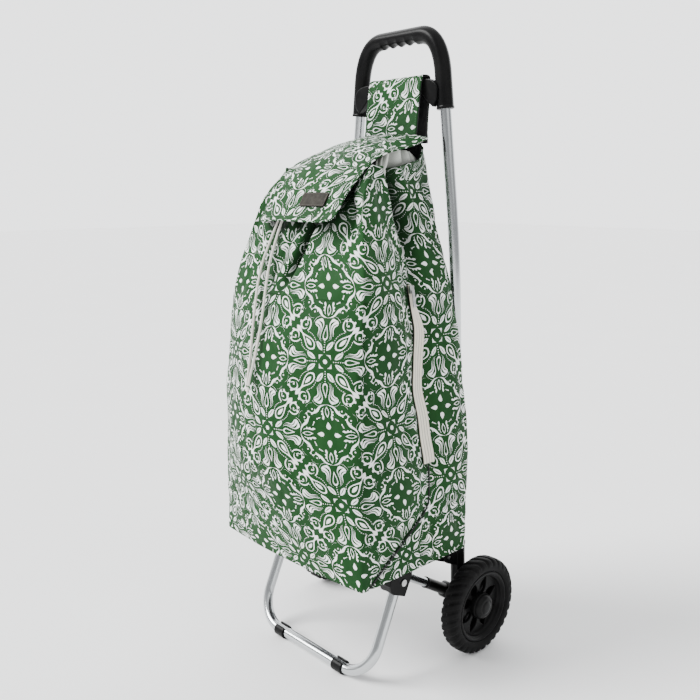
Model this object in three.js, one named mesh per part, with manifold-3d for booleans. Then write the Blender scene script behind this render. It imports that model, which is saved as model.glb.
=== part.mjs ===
// Two-wheeled folding shopping trolley with a fabric bag.
// Millimetres, +Z up, +X to the user's right, the bag's front faces -Y.
// The origin lies on the floor under the middle of the footprint. Everything is drawn in a group
// whose own Y = 0 is the axle line, and that group is moved back by AXLE_Y.
import * as THREE from 'three';
import { mergeVertices } from 'three/addons/utils/BufferGeometryUtils.js';
import Module from 'manifold-3d';

const wasm = await Module();
wasm.setup();

// ---------------------------------------------------------------- driving dimensions
const AXLE_Y = 105.44;
const GAP = 0.3; // kept between pieces that touch
const RIGHT = 1;
const LEFT = -1;

const WHEEL_RADIUS = 75;
const WHEEL_X = 166; // middle of the tyre
const RIM_RADIUS = 55;
const RIM_OPENINGS = 8;
const AXLE_RADIUS = 4;
const AXLE_END_X = 181;

const TUBE_RADIUS = 8;
const TUBE_WALL = 1.2;
const TUBE_SIDES = 12;
const UPRIGHT_BOTTOM_Z = 98;
const UPRIGHT_BEND_Z = 612;
const UPRIGHT_BEND_REACH = 75; // how far above and below the bend the tube curves
const UPRIGHT_TOP_Z = 840;

const POST_RADIUS = 11;
const POST_TOP_Z = 166;
const BOSS_INNER_X = 113.5;
const BOSS_OUTER_X = 136.5;

const HANDLE_RADIUS = 12.5;
const HANDLE_BOTTOM_Z = 817;
const HANDLE_TOP_Z = 923.5;
const FINGER_GROOVES = 4;
const FINGER_PITCH = 17;
const CROSSBAR_Y = [-25, -15];

const RAIL_X = [121, 127];
const BASE_PIVOT = { y: -30, z: 150 }; // the rails turn on the posts here
const PIN_RADIUS = 2.5;

const STAND_PIVOT = { y: -138, z: 147.5 }; // the front legs turn in the elbows here
const STAND_X = 126;
const STAND_FLOOR = { y: -198, z: 11 };
const STAND_CORNER = 50;
const FOOT_CLIP_X = 67.6;
const FOOT_CLIP_LENGTH = 20;

const BRACE_X = 104;
const BRACE_RADIUS = 7.2;
const BRACE_FRONT = { y: -130, z: 153 };

const BAG_WALL = 3;
const BAG_FLOOR_Z = 172;
const BAG_WALL_Z = 175;
// The bag's three long edges on the right side, from the floor up, as [x, y, z].
const FRONT_EDGE = [
  [156, -238, 175], [155, -239, 250], [153, -239, 320], [151, -237, 385], [149, -234, 450],
  [147, -230, 500], [141, -222.5, 560], [133, -215, 600], [124, -206.5, 640], [113, -196, 680],
  [107, -189.5, 700],
];
// Each gusset's front edge rises past the front panel, up to the flap's side edge.
const GUSSET_PEAK = [88, -154, 734];
// How far the filled bag's front stands out at the middle of each row of FRONT_EDGE.
const FRONT_BULGE = [8, 30, 48, 50, 46, 38, 22, 10, 5, 2, 0];
const VALLEY_EDGE = [
  [156, -126, 175], [155, -116, 250], [152, -108, 325], [142.6, -108.5, 385], [132.4, -109, 450],
  [124.6, -109.4, 500], [115.2, -110, 560], [106, -110, 600], [92.5, -110, 640], [82, -110, 682],
  [77, -109, 714], [75, -109, 741],
];
const REAR_EDGE = [
  [156, -17, 175], [156, -17, 250], [155, -17, 320], [149, -17, 385], [141, -17, 450],
  [132, -17, 500], [118, -17, 560], [106, -17, 600], [91, -17, 640], [77, -17, 690],
  [67, -17, 725], [60, -17, 752],
];
const REAR_PANEL_TOP = [50, -17, 786];

// The flap's outer line seen from the side, from the hem to the edge sewn to the rear, as [y, z].
const FLAP_LINE = [
  [-222, 662], [-211, 680], [-199, 700], [-183, 719.5], [-165, 736.5], [-143, 752], [-117, 764],
  [-85, 773.5], [-44, 785.5],
];
const FLAP_HALF_WIDTH = 85;
const FLAP_THICKNESS = 3;
const FLAP_CORNER = 20;
const LABEL_SIZE = [51, 21, 1];
const LABEL_CENTRE_X = 25.5;

const LOOP_HALF_WIDTH = 53;
const LOOP_CENTRE_X = 7; // it hangs a little to the right
const LOOP_THICKNESS = 2.5;
// The hanging loop's outer line over the crossbar, seen from the side, as [y, z].
const LOOP_LINE = [
  [-41, 789.5], [-33.5, 842], [-29.8, 860], [-25.5, 865.5], [-14.5, 865.5], [-10.6, 860],
  [-10.4, 844], [-14.2, 800], [-14.2, 770],
];

const COLLAR_THICKNESS = 2;
// The lining collar in the mouth: right-hand points of its lower and upper edge, front to rear.
const COLLAR_LOW = [[0, -176, 690], [84, -173, 694], [64, -108, 712], [50, -26, 738], [0, -25, 740]];
const COLLAR_HIGH = [[0, -162, 720], [76, -158, 724], [58, -106, 746], [44, -33, 767], [0, -32, 769]];

const COLLAR_LEAN = Math.atan2(14, 30); // of the collar's front from upright
const EYELET_CENTRE = { y: -170.7, z: 704.6 };

const ZIP_TOP = [113, -110, 574];
const ZIP_BOTTOM = [152, -108, 325];
const ZIP_TAPE = { topWidth: 9, bottomWidth: 20, thickness: 1.2, lift: 2.6 };

const CORD_RADIUS = 1.75;
const CORD_SIDES = 8;
const CORD_STEPS = 36;
// Both drawstring ends, from their eyelets over the bag's front edge down to the shared knot.
const CORD_ROUTES = {
  drawstring_left: [
    [-33, -172.4, 705.4], [-34, -177.6, 707.2], [-35, -183.4, 706.9], [-36.5, -188.3, 704.8],
    [-38.5, -191.8, 701.2], [-40.5, -193.8, 697], [-42.5, -196.2, 690.5], [-46, -202, 676],
    [-52, -209, 655], [-59, -217.7, 628], [-63.5, -226.6, 602], [-58.3, -239.8, 573],
    [-48, -253.9, 540.5], [-36.6, -267.8, 507], [-29.5, -277.9, 473.5], [-25.5, -285.1, 450.5],
    [-24.8, -288.1, 436],
  ],
  drawstring_right: [
    [-21, -172.4, 705.4], [-22, -177.6, 707.2], [-23.5, -183.4, 706.9], [-25.5, -188.3, 704.8],
    [-28, -191.8, 701.2], [-30.5, -193.8, 697], [-33, -196.2, 690.5], [-37.5, -202, 676],
    [-42.5, -209.4, 655], [-45.7, -218.2, 628], [-45.7, -227.7, 602], [-36.6, -241.8, 573],
    [-25.9, -256.1, 540.5], [-18.4, -269.7, 507], [-17.8, -279.1, 474.3], [-19.3, -285.8, 450.4],
    [-20.9, -288.4, 436.3],
  ],
};
const KNOT = { x: -22.4, y: -289.2, z: 430.4, radius: 4.6 };

// ---------------------------------------------------------------- materials
function material(color, roughness, metalness) {
  return new THREE.MeshStandardMaterial({ color, roughness, metalness });
}
const ALUMINIUM = material(0xc3c8cb, 0.3, 1);
const STEEL = material(0xb0b2b4, 0.3, 1);
const PLASTIC = material(0x151517, 0.45, 0);
const FOAM_RUBBER = material(0x1c1c1e, 0.8, 0);
const PRINTED_FABRIC = material(0x3c7d42, 0.75, 0);
const LINING = material(0xe2e2de, 0.5, 0);
const BOARD = material(0x2a2a2a, 0.8, 0);
const LABEL = material(0x3e3a30, 0.6, 0);
const CORD = material(0xe6e2d6, 0.8, 0);
const ZIP = material(0xcdc8b9, 0.6, 0);

// ---------------------------------------------------------------- helpers
const trolley = new THREE.Group();
trolley.position.y = AXLE_Y;

function place(name, geometry, finish) {
  const mesh = new THREE.Mesh(geometry, finish);
  mesh.name = name;
  trolley.add(mesh);
  return mesh;
}

function sideName(stem, side) {
  return `${stem}_${side === RIGHT ? 'right' : 'left'}`;
}

function weld(geometry) {
  geometry.deleteAttribute('normal');
  geometry.deleteAttribute('uv');
  return mergeVertices(geometry, 1e-4);
}

function toSolid(geometry) {
  const welded = weld(geometry);
  return new wasm.Manifold(new wasm.Mesh({
    numProp: 3,
    vertProperties: welded.attributes.position.array,
    triVerts: Uint32Array.from(welded.index.array),
  }));
}

function toGeometry(solid) {
  const mesh = solid.getMesh();
  const geometry = new THREE.BufferGeometry();
  geometry.setAttribute('position', new THREE.BufferAttribute(mesh.vertProperties, 3));
  geometry.setIndex(new THREE.BufferAttribute(mesh.triVerts, 1));
  geometry.computeVertexNormals();
  return geometry;
}

// Joins the first list of shapes, then cuts the second list out of it.
function carve(joined, removed = []) {
  let solid = toSolid(joined[0]);
  joined.slice(1).forEach((shape) => { solid = solid.add(toSolid(shape)); });
  removed.forEach((shape) => { solid = solid.subtract(toSolid(shape)); });
  return toGeometry(solid);
}

function point(x, y, z) {
  return new THREE.Vector3(x, y, z);
}

// A round bar from one point to another.
function rod(radius, from, to, sides = 20) {
  const along = to.clone().sub(from);
  const geometry = new THREE.CylinderGeometry(radius, radius, along.length(), sides);
  const turn = new THREE.Quaternion().setFromUnitVectors(point(0, 1, 0), along.clone().normalize());
  const middle = from.clone().add(to).multiplyScalar(0.5);
  geometry.applyQuaternion(turn);
  geometry.translate(middle.x, middle.y, middle.z);
  return geometry;
}

function circlePoints(radius, sides) {
  return Array.from({ length: sides }, (_, i) => {
    const angle = (2 * Math.PI * i) / sides;
    return new THREE.Vector2(radius * Math.cos(angle), radius * Math.sin(angle));
  });
}

// A round section swept along a curve, hollow if a bore is given.
function sweep(curve, radius, steps, sides, bore = 0) {
  const section = new THREE.Shape(circlePoints(radius, sides));
  if (bore > 0) section.holes.push(new THREE.Path(circlePoints(bore, sides)));
  return new THREE.ExtrudeGeometry(section, { steps, extrudePath: curve });
}

// A flat plate drawn as [y, z] points and spanning x0 to x1.
function sidePlate(points, x0, x1) {
  const shape = new THREE.Shape(points.map(([y, z]) => new THREE.Vector2(y, z)));
  const geometry = new THREE.ExtrudeGeometry(shape, { depth: x1 - x0, bevelEnabled: false });
  const turn = new THREE.Matrix4().makeBasis(point(0, 1, 0), point(0, 0, 1), point(1, 0, 0));
  geometry.applyMatrix4(turn);
  geometry.translate(x0, 0, 0);
  return geometry;
}

// A flat plate drawn as [x, z] points and spanning y0 to y1.
function frontPlate(points, y0, y1) {
  const shape = new THREE.Shape(points.map(([x, z]) => new THREE.Vector2(x, z)));
  const geometry = new THREE.ExtrudeGeometry(shape, { depth: y1 - y0, bevelEnabled: false });
  geometry.rotateX(Math.PI / 2);
  geometry.translate(0, y1, 0);
  return geometry;
}

function box([x0, x1], [y0, y1], [z0, z1]) {
  const geometry = new THREE.BoxGeometry(x1 - x0, y1 - y0, z1 - z0);
  geometry.translate((x0 + x1) / 2, (y0 + y1) / 2, (z0 + z1) / 2);
  return geometry;
}

// A piece turned on the X axis: profile points are [radius, distance along X].
function turned(profile, segments) {
  const points = profile.map(([radius, along]) => new THREE.Vector2(radius, along));
  const closedOnAxis = profile[0][0] === 0;
  if (!closedOnAxis) points.push(points[0].clone());
  const geometry = new THREE.LatheGeometry(points, segments);
  geometry.rotateZ(-Math.PI / 2);
  return geometry;
}

// Mirrors a right-hand geometry to the side asked for.
function onSide(geometry, side) {
  if (side === RIGHT) return geometry;
  const welded = weld(geometry);
  welded.scale(-1, 1, 1);
  const triangles = welded.index.array;
  for (let i = 0; i < triangles.length; i += 3) {
    [triangles[i], triangles[i + 1]] = [triangles[i + 1], triangles[i]];
  }
  welded.computeVertexNormals();
  return welded;
}

// A closed sheet between two equal grids of points, the outer one and the inner one.
// wrapped joins each row's last point to its first, as round a collar.
function sheet(outer, inner, wrapped = false) {
  const rows = outer.length;
  const columns = outer[0].length;
  const positions = [...outer.flat(), ...inner.flat()].flatMap((p) => [p.x, p.y, p.z]);
  const triangles = [];
  const at = (layer, row, column) => (layer * rows + row) * columns + (column % columns);
  const quad = (a, b, c, d) => triangles.push(a, b, c, a, c, d);
  const spans = wrapped ? columns : columns - 1;
  for (let column = 0; column < spans; column += 1) {
    for (let row = 0; row < rows - 1; row += 1) {
      quad(at(0, row, column), at(0, row, column + 1), at(0, row + 1, column + 1), at(0, row + 1, column));
      quad(at(1, row, column), at(1, row + 1, column), at(1, row + 1, column + 1), at(1, row, column + 1));
    }
    const top = rows - 1;
    quad(at(0, 0, column), at(1, 0, column), at(1, 0, column + 1), at(0, 0, column + 1));
    quad(at(0, top, column), at(0, top, column + 1), at(1, top, column + 1), at(1, top, column));
  }
  if (!wrapped) {
    const end = columns - 1;
    for (let row = 0; row < rows - 1; row += 1) {
      quad(at(0, row, 0), at(0, row + 1, 0), at(1, row + 1, 0), at(1, row, 0));
      quad(at(0, row, end), at(1, row, end), at(1, row + 1, end), at(0, row + 1, end));
    }
  }
  const geometry = new THREE.BufferGeometry();
  geometry.setAttribute('position', new THREE.Float32BufferAttribute(positions, 3));
  geometry.setIndex(triangles);
  geometry.computeVertexNormals();
  return geometry;
}

// ---------------------------------------------------------------- uprights, posts and handle
// The two straight stretches of an upright tube, found by height.
function lowerUpright(z) {
  return point(124.8 - 0.032 * (z - 140), -0.0133 * (z - 140), z);
}
function upperUpright(z) {
  return point(88 - 0.106 * (z - HANDLE_BOTTOM_Z), -0.0133 * (z - 140), z);
}

function uprightCurve() {
  const path = new THREE.CurvePath();
  const bendStart = lowerUpright(UPRIGHT_BEND_Z - UPRIGHT_BEND_REACH);
  const bendEnd = upperUpright(UPRIGHT_BEND_Z + UPRIGHT_BEND_REACH);
  path.add(new THREE.LineCurve3(lowerUpright(UPRIGHT_BOTTOM_Z), bendStart));
  path.add(new THREE.QuadraticBezierCurve3(bendStart, upperUpright(UPRIGHT_BEND_Z), bendEnd));
  path.add(new THREE.LineCurve3(bendEnd, upperUpright(UPRIGHT_TOP_Z)));
  return path;
}

function uprightTube() {
  return sweep(uprightCurve(), TUBE_RADIUS, 12, TUBE_SIDES, TUBE_RADIUS - TUBE_WALL);
}

function post() {
  const { y, z } = BASE_PIVOT;
  const ear = [[0, z + 15], [y, z + 10], [y - 8, z + 5], [y - 9, z - 4], [y - 3, z - 9], [0, z - 24]];
  return carve([
    rod(POST_RADIUS, lowerUpright(86), lowerUpright(POST_TOP_Z)),
    rod(14, point(BOSS_INNER_X, 0, WHEEL_RADIUS), point(BOSS_OUTER_X, 0, WHEEL_RADIUS), 24),
    sidePlate(ear, RAIL_X[0] - 4, RAIL_X[0] - 0.5),
    sidePlate(ear, RAIL_X[1] + 0.5, RAIL_X[1] + 4),
  ], [
    rod(TUBE_RADIUS + 0.5, lowerUpright(UPRIGHT_BOTTOM_Z - GAP), lowerUpright(POST_TOP_Z + 10)),
    rod(AXLE_RADIUS + 0.35, point(100, 0, WHEEL_RADIUS), point(150, 0, WHEEL_RADIUS)),
    rod(PIN_RADIUS + 0.35, point(100, y, z), point(150, y, z)),
  ]);
}

function handleCurve() {
  const path = new THREE.CurvePath();
  const right = [upperUpright(HANDLE_BOTTOM_Z), upperUpright(868)];
  const barY = right[1].y - 0.6;
  const mirror = (p) => point(-p.x, p.y, p.z);
  const corner = [point(79, barY, 899), point(66, barY, HANDLE_TOP_Z), point(40, barY, HANDLE_TOP_Z)];
  path.add(new THREE.LineCurve3(right[0], right[1]));
  path.add(new THREE.CubicBezierCurve3(right[1], corner[0], corner[1], corner[2]));
  path.add(new THREE.LineCurve3(corner[2], mirror(corner[2])));
  path.add(new THREE.CubicBezierCurve3(...[...corner].reverse().map(mirror), mirror(right[1])));
  path.add(new THREE.LineCurve3(mirror(right[1]), mirror(right[0])));
  return path;
}

function handleGrip() {
  const underside = HANDLE_TOP_Z - HANDLE_RADIUS;
  const grooves = Array.from({ length: FINGER_GROOVES }, (_, i) => {
    const x = (i - (FINGER_GROOVES - 1) / 2) * FINGER_PITCH;
    return rod(11, point(x, -40, underside - 8), point(x, 20, underside - 8), 24);
  });
  const socket = rod(TUBE_RADIUS + 0.6, upperUpright(HANDLE_BOTTOM_Z - 5), upperUpright(UPRIGHT_TOP_Z + 1));
  const sockets = [socket, onSide(socket.clone(), LEFT)];
  return carve([sweep(handleCurve(), HANDLE_RADIUS, 32, 16)], [...grooves, ...sockets]);
}

function crossbar() {
  const rightHalf = [[82, 818], [84, 846], [76, 855], [62, 860]];
  const rightLower = [[44, 846], [60, 834], [74, 822]];
  const mirror = ([x, z]) => [-x, z];
  const outline = [
    ...rightHalf, ...[...rightHalf].reverse().map(mirror),
    ...[...rightLower].reverse().map(mirror), ...rightLower,
  ];
  const leg = rod(HANDLE_RADIUS + 0.5, upperUpright(780), upperUpright(880), 24);
  return carve([frontPlate(outline, ...CROSSBAR_Y)], [leg, onSide(leg.clone(), LEFT)]);
}

place('handle_grip', handleGrip(), PLASTIC);
place('handle_crossbar', crossbar(), PLASTIC);
for (const side of [LEFT, RIGHT]) {
  place(sideName('upright_tube', side), onSide(uprightTube(), side), ALUMINIUM);
  place(sideName('axle_post', side), onSide(post(), side), PLASTIC);
}

// ---------------------------------------------------------------- axle and wheels
const axleStart = point(-AXLE_END_X, 0, WHEEL_RADIUS);
place('axle', rod(AXLE_RADIUS, axleStart, point(AXLE_END_X, 0, WHEEL_RADIUS)), STEEL);

function ring(inner, outer, from, to) {
  return turned([[inner, from], [outer, from], [outer, to], [inner, to]], 20);
}

function tyre() {
  const half = [[RIM_RADIUS + GAP, 12.5], [62, 14.6], [69, 14], [73.4, 10.5], [WHEEL_RADIUS, 5]];
  const other = [...half].reverse().map(([radius, along]) => [radius, -along]);
  return turned([...other.reverse(), ...[...half].reverse()], 40);
}

// One leaf-shaped opening, drawn on the wheel's face and cut right through the web.
function rimOpening(angle) {
  const leaf = new THREE.Shape();
  leaf.moveTo(20, 0);
  leaf.bezierCurveTo(22, 8, 33, 9, 43, 3);
  leaf.bezierCurveTo(38, -4, 27, -9, 20, 0);
  const geometry = new THREE.ExtrudeGeometry(leaf, { depth: 20, bevelEnabled: false, curveSegments: 5 });
  geometry.translate(0, 0, -10);
  geometry.rotateZ(angle);
  geometry.rotateY(Math.PI / 2);
  return geometry;
}

function rim() {
  const profile = [
    [AXLE_RADIUS + 0.35, -15.5], [13, -15.5], [14, -4], [46, -4], [47, -12], [RIM_RADIUS, -12],
    [RIM_RADIUS, 12], [51, 12.6], [48, 2], [14, 2], [13, 10], [AXLE_RADIUS + 0.35, 10],
  ];
  const openings = Array.from({ length: RIM_OPENINGS }, (_, i) => (
    rimOpening((2 * Math.PI * i) / RIM_OPENINGS)));
  return carve([turned(profile, 28)], openings);
}

function hubCap() {
  return turned([
    [0, 16], [11, 16], [14.4, 13], [14.4, 2.4], [20.5, 2.4], [20.5, 9], [19.5, 13.2], [15, 16.8],
    [8, 18.8], [0, 19.3],
  ], 20);
}

for (const side of [LEFT, RIGHT]) {
  const pieces = [
    ['tyre', tyre(), FOAM_RUBBER, WHEEL_X],
    ['rim', rim(), PLASTIC, WHEEL_X],
    ['hub_cap', hubCap(), PLASTIC, WHEEL_X],
    ['axle_clip', ring(AXLE_RADIUS + 0.35, 9.5, 10.4, 12.4), STEEL, WHEEL_X],
    ['axle_spacer', ring(AXLE_RADIUS + 0.35, 9, 138.5, 150), PLASTIC, 0],
  ];
  for (const [stem, geometry, finish, x] of pieces) {
    geometry.translate(x, 0, WHEEL_RADIUS);
    place(sideName(stem, side), onSide(geometry, side), finish);
  }
}

// ---------------------------------------------------------------- folding base
function pivotPin() {
  const { y, z } = BASE_PIVOT;
  return rod(PIN_RADIUS, point(RAIL_X[0] - 6, y, z), point(RAIL_X[1] + 6, y, z), 12);
}

function baseRail() {
  const { y, z } = BASE_PIVOT;
  const outline = [
    [y + 8, z + 2], [y + 4, z + 8], [-62, 167], [-117.4, 167], [-117.4, 156], [-64, 155],
    [y - 6, z - 7.5], [y, z - 8.5], [y + 7, z - 5],
  ];
  return carve([sidePlate(outline, ...RAIL_X)], [
    rod(PIN_RADIUS + 0.35, point(110, y, z), point(140, y, z)),
  ]);
}

// The moulded elbow: two ears either side of the leg, a roof above it and a wall before it.
function elbow() {
  const { y, z } = STAND_PIVOT;
  const ear = [[-134.5, 125], [-121, 152], [-118, 168], [-160, 168], [-166, 150], [-158.5, 135.5]];
  const roof = [[-118, 160.6], [-118, 168], [-160, 168], [-160, 160.6]];
  const wall = [[-145.7, 161.8], [-162, 167.5], [-166, 150], [-160.8, 137.8], [-156.9, 136.1]];
  return carve([
    sidePlate(ear, 134.8, 138),
    sidePlate(ear, 114, 117.2),
    sidePlate(roof, 115, 137),
    sidePlate(wall, 115, 137),
  ], [rod(PIN_RADIUS + 0.35, point(100, y, z), point(150, y, z))]);
}

function elbowRivet() {
  const { y, z } = STAND_PIVOT;
  return carve([
    rod(PIN_RADIUS, point(112.6, y, z), point(139.5, y, z), 12),
    rod(5, point(138.3, y, z), point(139.8, y, z), 20),
    rod(4, point(112.4, y, z), point(113.6, y, z), 16),
  ]);
}

const crossBarStart = point(-113.5, -141, 163);
place('base_cross_bar', rod(5, crossBarStart, point(113.5, -141, 163), 16), STEEL);
for (const side of [LEFT, RIGHT]) {
  place(sideName('base_pivot_pin', side), onSide(pivotPin(), side), STEEL);
  place(sideName('base_rail', side), onSide(baseRail(), side), PLASTIC);
  place(sideName('elbow_bracket', side), onSide(elbow(), side), PLASTIC);
  place(sideName('elbow_rivet', side), onSide(elbowRivet(), side), STEEL);
}

// ---------------------------------------------------------------- front stand
// A point of the stand's leaning plane: across, and down the leg from its pivot.
const standDrop = Math.hypot(STAND_FLOOR.y - STAND_PIVOT.y, STAND_FLOOR.z - STAND_PIVOT.z);
function standPoint(x, down) {
  const share = down / standDrop;
  const y = STAND_PIVOT.y + share * (STAND_FLOOR.y - STAND_PIVOT.y);
  return point(x, y, STAND_PIVOT.z + share * (STAND_FLOOR.z - STAND_PIVOT.z));
}

function standCurve() {
  const path = new THREE.CurvePath();
  const arc = STAND_CORNER * 0.4477; // leaves a quarter circle's share of each straight end
  const legEnd = standDrop - STAND_CORNER;
  const barEnd = STAND_X - STAND_CORNER;
  for (const side of [RIGHT, LEFT]) {
    const stretch = [
      standPoint(side * STAND_X, -9), standPoint(side * STAND_X, legEnd),
      standPoint(side * STAND_X, standDrop - arc), standPoint(side * (STAND_X - arc), standDrop),
      standPoint(side * barEnd, standDrop),
    ];
    const [top, bendStart, pullA, pullB, bendEnd] = stretch;
    if (side === RIGHT) {
      path.add(new THREE.LineCurve3(top, bendStart));
      path.add(new THREE.CubicBezierCurve3(bendStart, pullA, pullB, bendEnd));
      path.add(new THREE.LineCurve3(bendEnd, standPoint(-barEnd, standDrop)));
    } else {
      path.add(new THREE.CubicBezierCurve3(bendEnd, pullB, pullA, bendStart));
      path.add(new THREE.LineCurve3(bendStart, top));
    }
  }
  return path;
}

function standTube() {
  const { y, z } = STAND_PIVOT;
  const tube = sweep(standCurve(), TUBE_RADIUS, 26, TUBE_SIDES, TUBE_RADIUS - TUBE_WALL);
  return carve([tube], [
    rod(PIN_RADIUS + 0.35, point(-150, y, z), point(-100, y, z)),
    rod(PIN_RADIUS + 0.35, point(100, y, z), point(150, y, z)),
  ]);
}

// A snap-on clip, open at the top, with a flat sole on the floor.
function footClip() {
  const { y, z } = STAND_FLOOR;
  const ends = [FOOT_CLIP_X - FOOT_CLIP_LENGTH / 2, FOOT_CLIP_X + FOOT_CLIP_LENGTH / 2];
  return carve([
    rod(10.6, point(ends[0], y, z), point(ends[1], y, z), 24),
    box(ends, [y - 6, y + 6], [0, 4]),
  ], [
    rod(TUBE_RADIUS + 0.5, point(0, y, z), point(120, y, z), 24),
    box([0, 120], [y - 3, y + 7], [z + 3, z + 20]),
  ]);
}

place('stand_tube', standTube(), ALUMINIUM);
for (const side of [LEFT, RIGHT]) {
  place(sideName('foot_clip', side), onSide(footClip(), side), PLASTIC);
}

// ---------------------------------------------------------------- braces
const braceWay = point(0, BRACE_FRONT.y, BRACE_FRONT.z - WHEEL_RADIUS).normalize();
function bracePoint(distance) {
  return point(BRACE_X, 0, WHEEL_RADIUS).addScaledVector(braceWay, distance);
}

function braceSleeve() {
  return carve([
    rod(13, point(95.5, 0, WHEEL_RADIUS), point(112.5, 0, WHEEL_RADIUS), 24),
    rod(9, bracePoint(2), bracePoint(62)),
  ], [
    rod(AXLE_RADIUS + 0.35, point(80, 0, WHEEL_RADIUS), point(130, 0, WHEEL_RADIUS)),
    rod(BRACE_RADIUS + 0.45, bracePoint(19), bracePoint(80)),
  ]);
}

function braceTube() {
  const path = new THREE.LineCurve3(bracePoint(26), bracePoint(140));
  return sweep(path, BRACE_RADIUS, 1, TUBE_SIDES, BRACE_RADIUS - TUBE_WALL);
}

for (const side of [LEFT, RIGHT]) {
  place(sideName('brace_sleeve', side), onSide(braceSleeve(), side), PLASTIC);
  place(sideName('brace_tube', side), onSide(braceTube(), side), ALUMINIUM);
}

// ---------------------------------------------------------------- bag
function moved(points, dx, dy, dz = 0) {
  return points.map(([x, y, z]) => point(x + dx, y + dy, z + dz));
}

// Columns of points become rows, with extra columns spaced evenly between each pair.
function rowsBetween(columns, between) {
  return columns[0].map((_, row) => {
    const points = [];
    columns.forEach((column, i) => {
      points.push(column[row].clone());
      if (i === columns.length - 1) return;
      for (let step = 1; step <= between; step += 1) {
        points.push(column[row].clone().lerp(columns[i + 1][row], step / (between + 1)));
      }
    });
    return points;
  });
}

function mirrored(points) {
  return points.map(([x, y, z]) => [-x, y, z]);
}

function frontPanel() {
  const shares = [-1, -0.75, -0.45, -0.15, 0.15, 0.45, 0.75, 1];
  const column = (share, dy) => FRONT_EDGE.map(([x, y, z], row) => (
    point(share * x, y + dy - FRONT_BULGE[row] * (1 - share * share), z)));
  const outer = rowsBetween(shares.map((share) => column(share, 0)), 0);
  const inner = rowsBetween(shares.map((share) => column(share, BAG_WALL)), 0);
  return sheet(outer, inner);
}

function rearPanel() {
  const edge = [...REAR_EDGE, REAR_PANEL_TOP];
  const outer = rowsBetween([moved(edge, 0, 0), moved(mirrored(edge), 0, 0)], 3);
  const inner = rowsBetween([moved(edge, 0, -BAG_WALL), moved(mirrored(edge), 0, -BAG_WALL)], 3);
  return sheet(outer, inner);
}

function gusset() {
  const inset = BAG_WALL + GAP;
  const columns = (dx) => [
    moved([...FRONT_EDGE, GUSSET_PEAK], dx, inset), moved(VALLEY_EDGE, dx, 0),
    moved(REAR_EDGE, dx, -inset),
  ];
  return sheet(rowsBetween(columns(0), 1), rowsBetween(columns(-BAG_WALL), 1));
}

function collar() {
  const loop = (points, inset) => {
    const centreY = -100;
    const half = points.map(([x, y, z]) => {
      const reach = Math.hypot(x, y - centreY);
      const shrink = 1 - inset / reach;
      return point(x * shrink, centreY + (y - centreY) * shrink, z);
    });
    const back = half.slice(1, -1).reverse().map((p) => point(-p.x, p.y, p.z));
    return [...half, ...back];
  };
  const outer = [loop(COLLAR_LOW, 0), loop(COLLAR_HIGH, 0)];
  const inner = [loop(COLLAR_LOW, COLLAR_THICKNESS), loop(COLLAR_HIGH, COLLAR_THICKNESS)];
  return sheet(outer, inner, true);
}

place('bag_front_panel', frontPanel(), PRINTED_FABRIC);
place('bag_rear_panel', rearPanel(), PRINTED_FABRIC);
place('bag_bottom', box([-155.5, 155.5], [-238, -17.5], [BAG_FLOOR_Z, BAG_WALL_Z - GAP]), PRINTED_FABRIC);
place('base_board', box([-148, 148], [-230, -24], [BAG_WALL_Z + GAP, BAG_WALL_Z + 3.8]), BOARD);
place('drawstring_collar', collar(), LINING);
for (const side of [LEFT, RIGHT]) {
  place(sideName('bag_gusset', side), onSide(gusset(), side), PRINTED_FABRIC);
}

// ---------------------------------------------------------------- flap and loop
// A strip with the given outer line, [y, z], made inward by a thickness and spanning +-halfWidth.
function strip(line, thickness, halfWidth) {
  const outer = line.map(([y, z]) => new THREE.Vector2(y, z));
  const inner = outer.map((here, i) => {
    const before = outer[Math.max(i - 1, 0)];
    const after = outer[Math.min(i + 1, outer.length - 1)];
    const along = after.clone().sub(before).normalize();
    return new THREE.Vector2(here.x + along.y * thickness, here.y - along.x * thickness);
  });
  const outline = [...outer, ...inner.reverse()].map((p) => [p.x, p.y]);
  return sidePlate(outline.reverse(), -halfWidth, halfWidth);
}

function flap() {
  const rearY = FLAP_LINE[FLAP_LINE.length - 1][0] + 10;
  const hemY = FLAP_LINE[0][0] - 10;
  const plan = new THREE.Shape();
  plan.moveTo(FLAP_HALF_WIDTH, rearY);
  plan.lineTo(-FLAP_HALF_WIDTH, rearY);
  plan.lineTo(-FLAP_HALF_WIDTH, hemY + 10 + FLAP_CORNER);
  plan.quadraticCurveTo(-FLAP_HALF_WIDTH, hemY + 10, FLAP_CORNER - FLAP_HALF_WIDTH, hemY);
  plan.lineTo(FLAP_HALF_WIDTH - FLAP_CORNER, hemY);
  plan.quadraticCurveTo(FLAP_HALF_WIDTH, hemY + 10, FLAP_HALF_WIDTH, hemY + 10 + FLAP_CORNER);
  const prism = new THREE.ExtrudeGeometry(plan, { depth: 200, bevelEnabled: false, curveSegments: 5 });
  prism.translate(0, 0, 620);
  const curved = toSolid(strip(FLAP_LINE, FLAP_THICKNESS, FLAP_HALF_WIDTH + 10));
  return toGeometry(curved.intersect(toSolid(prism)));
}

function labelPatch() {
  const geometry = new THREE.BoxGeometry(...LABEL_SIZE);
  const [, low, high] = FLAP_LINE;
  const slope = new THREE.Vector2(high[0] - low[0], high[1] - low[1]);
  geometry.rotateX(slope.angle());
  const away = slope.clone().normalize();
  const lift = LABEL_SIZE[2] / 2 + GAP;
  const middle = [(low[0] + high[0]) / 2 - away.y * lift, (low[1] + high[1]) / 2 + away.x * lift];
  geometry.translate(LABEL_CENTRE_X, middle[0], middle[1]);
  return geometry;
}

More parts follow.
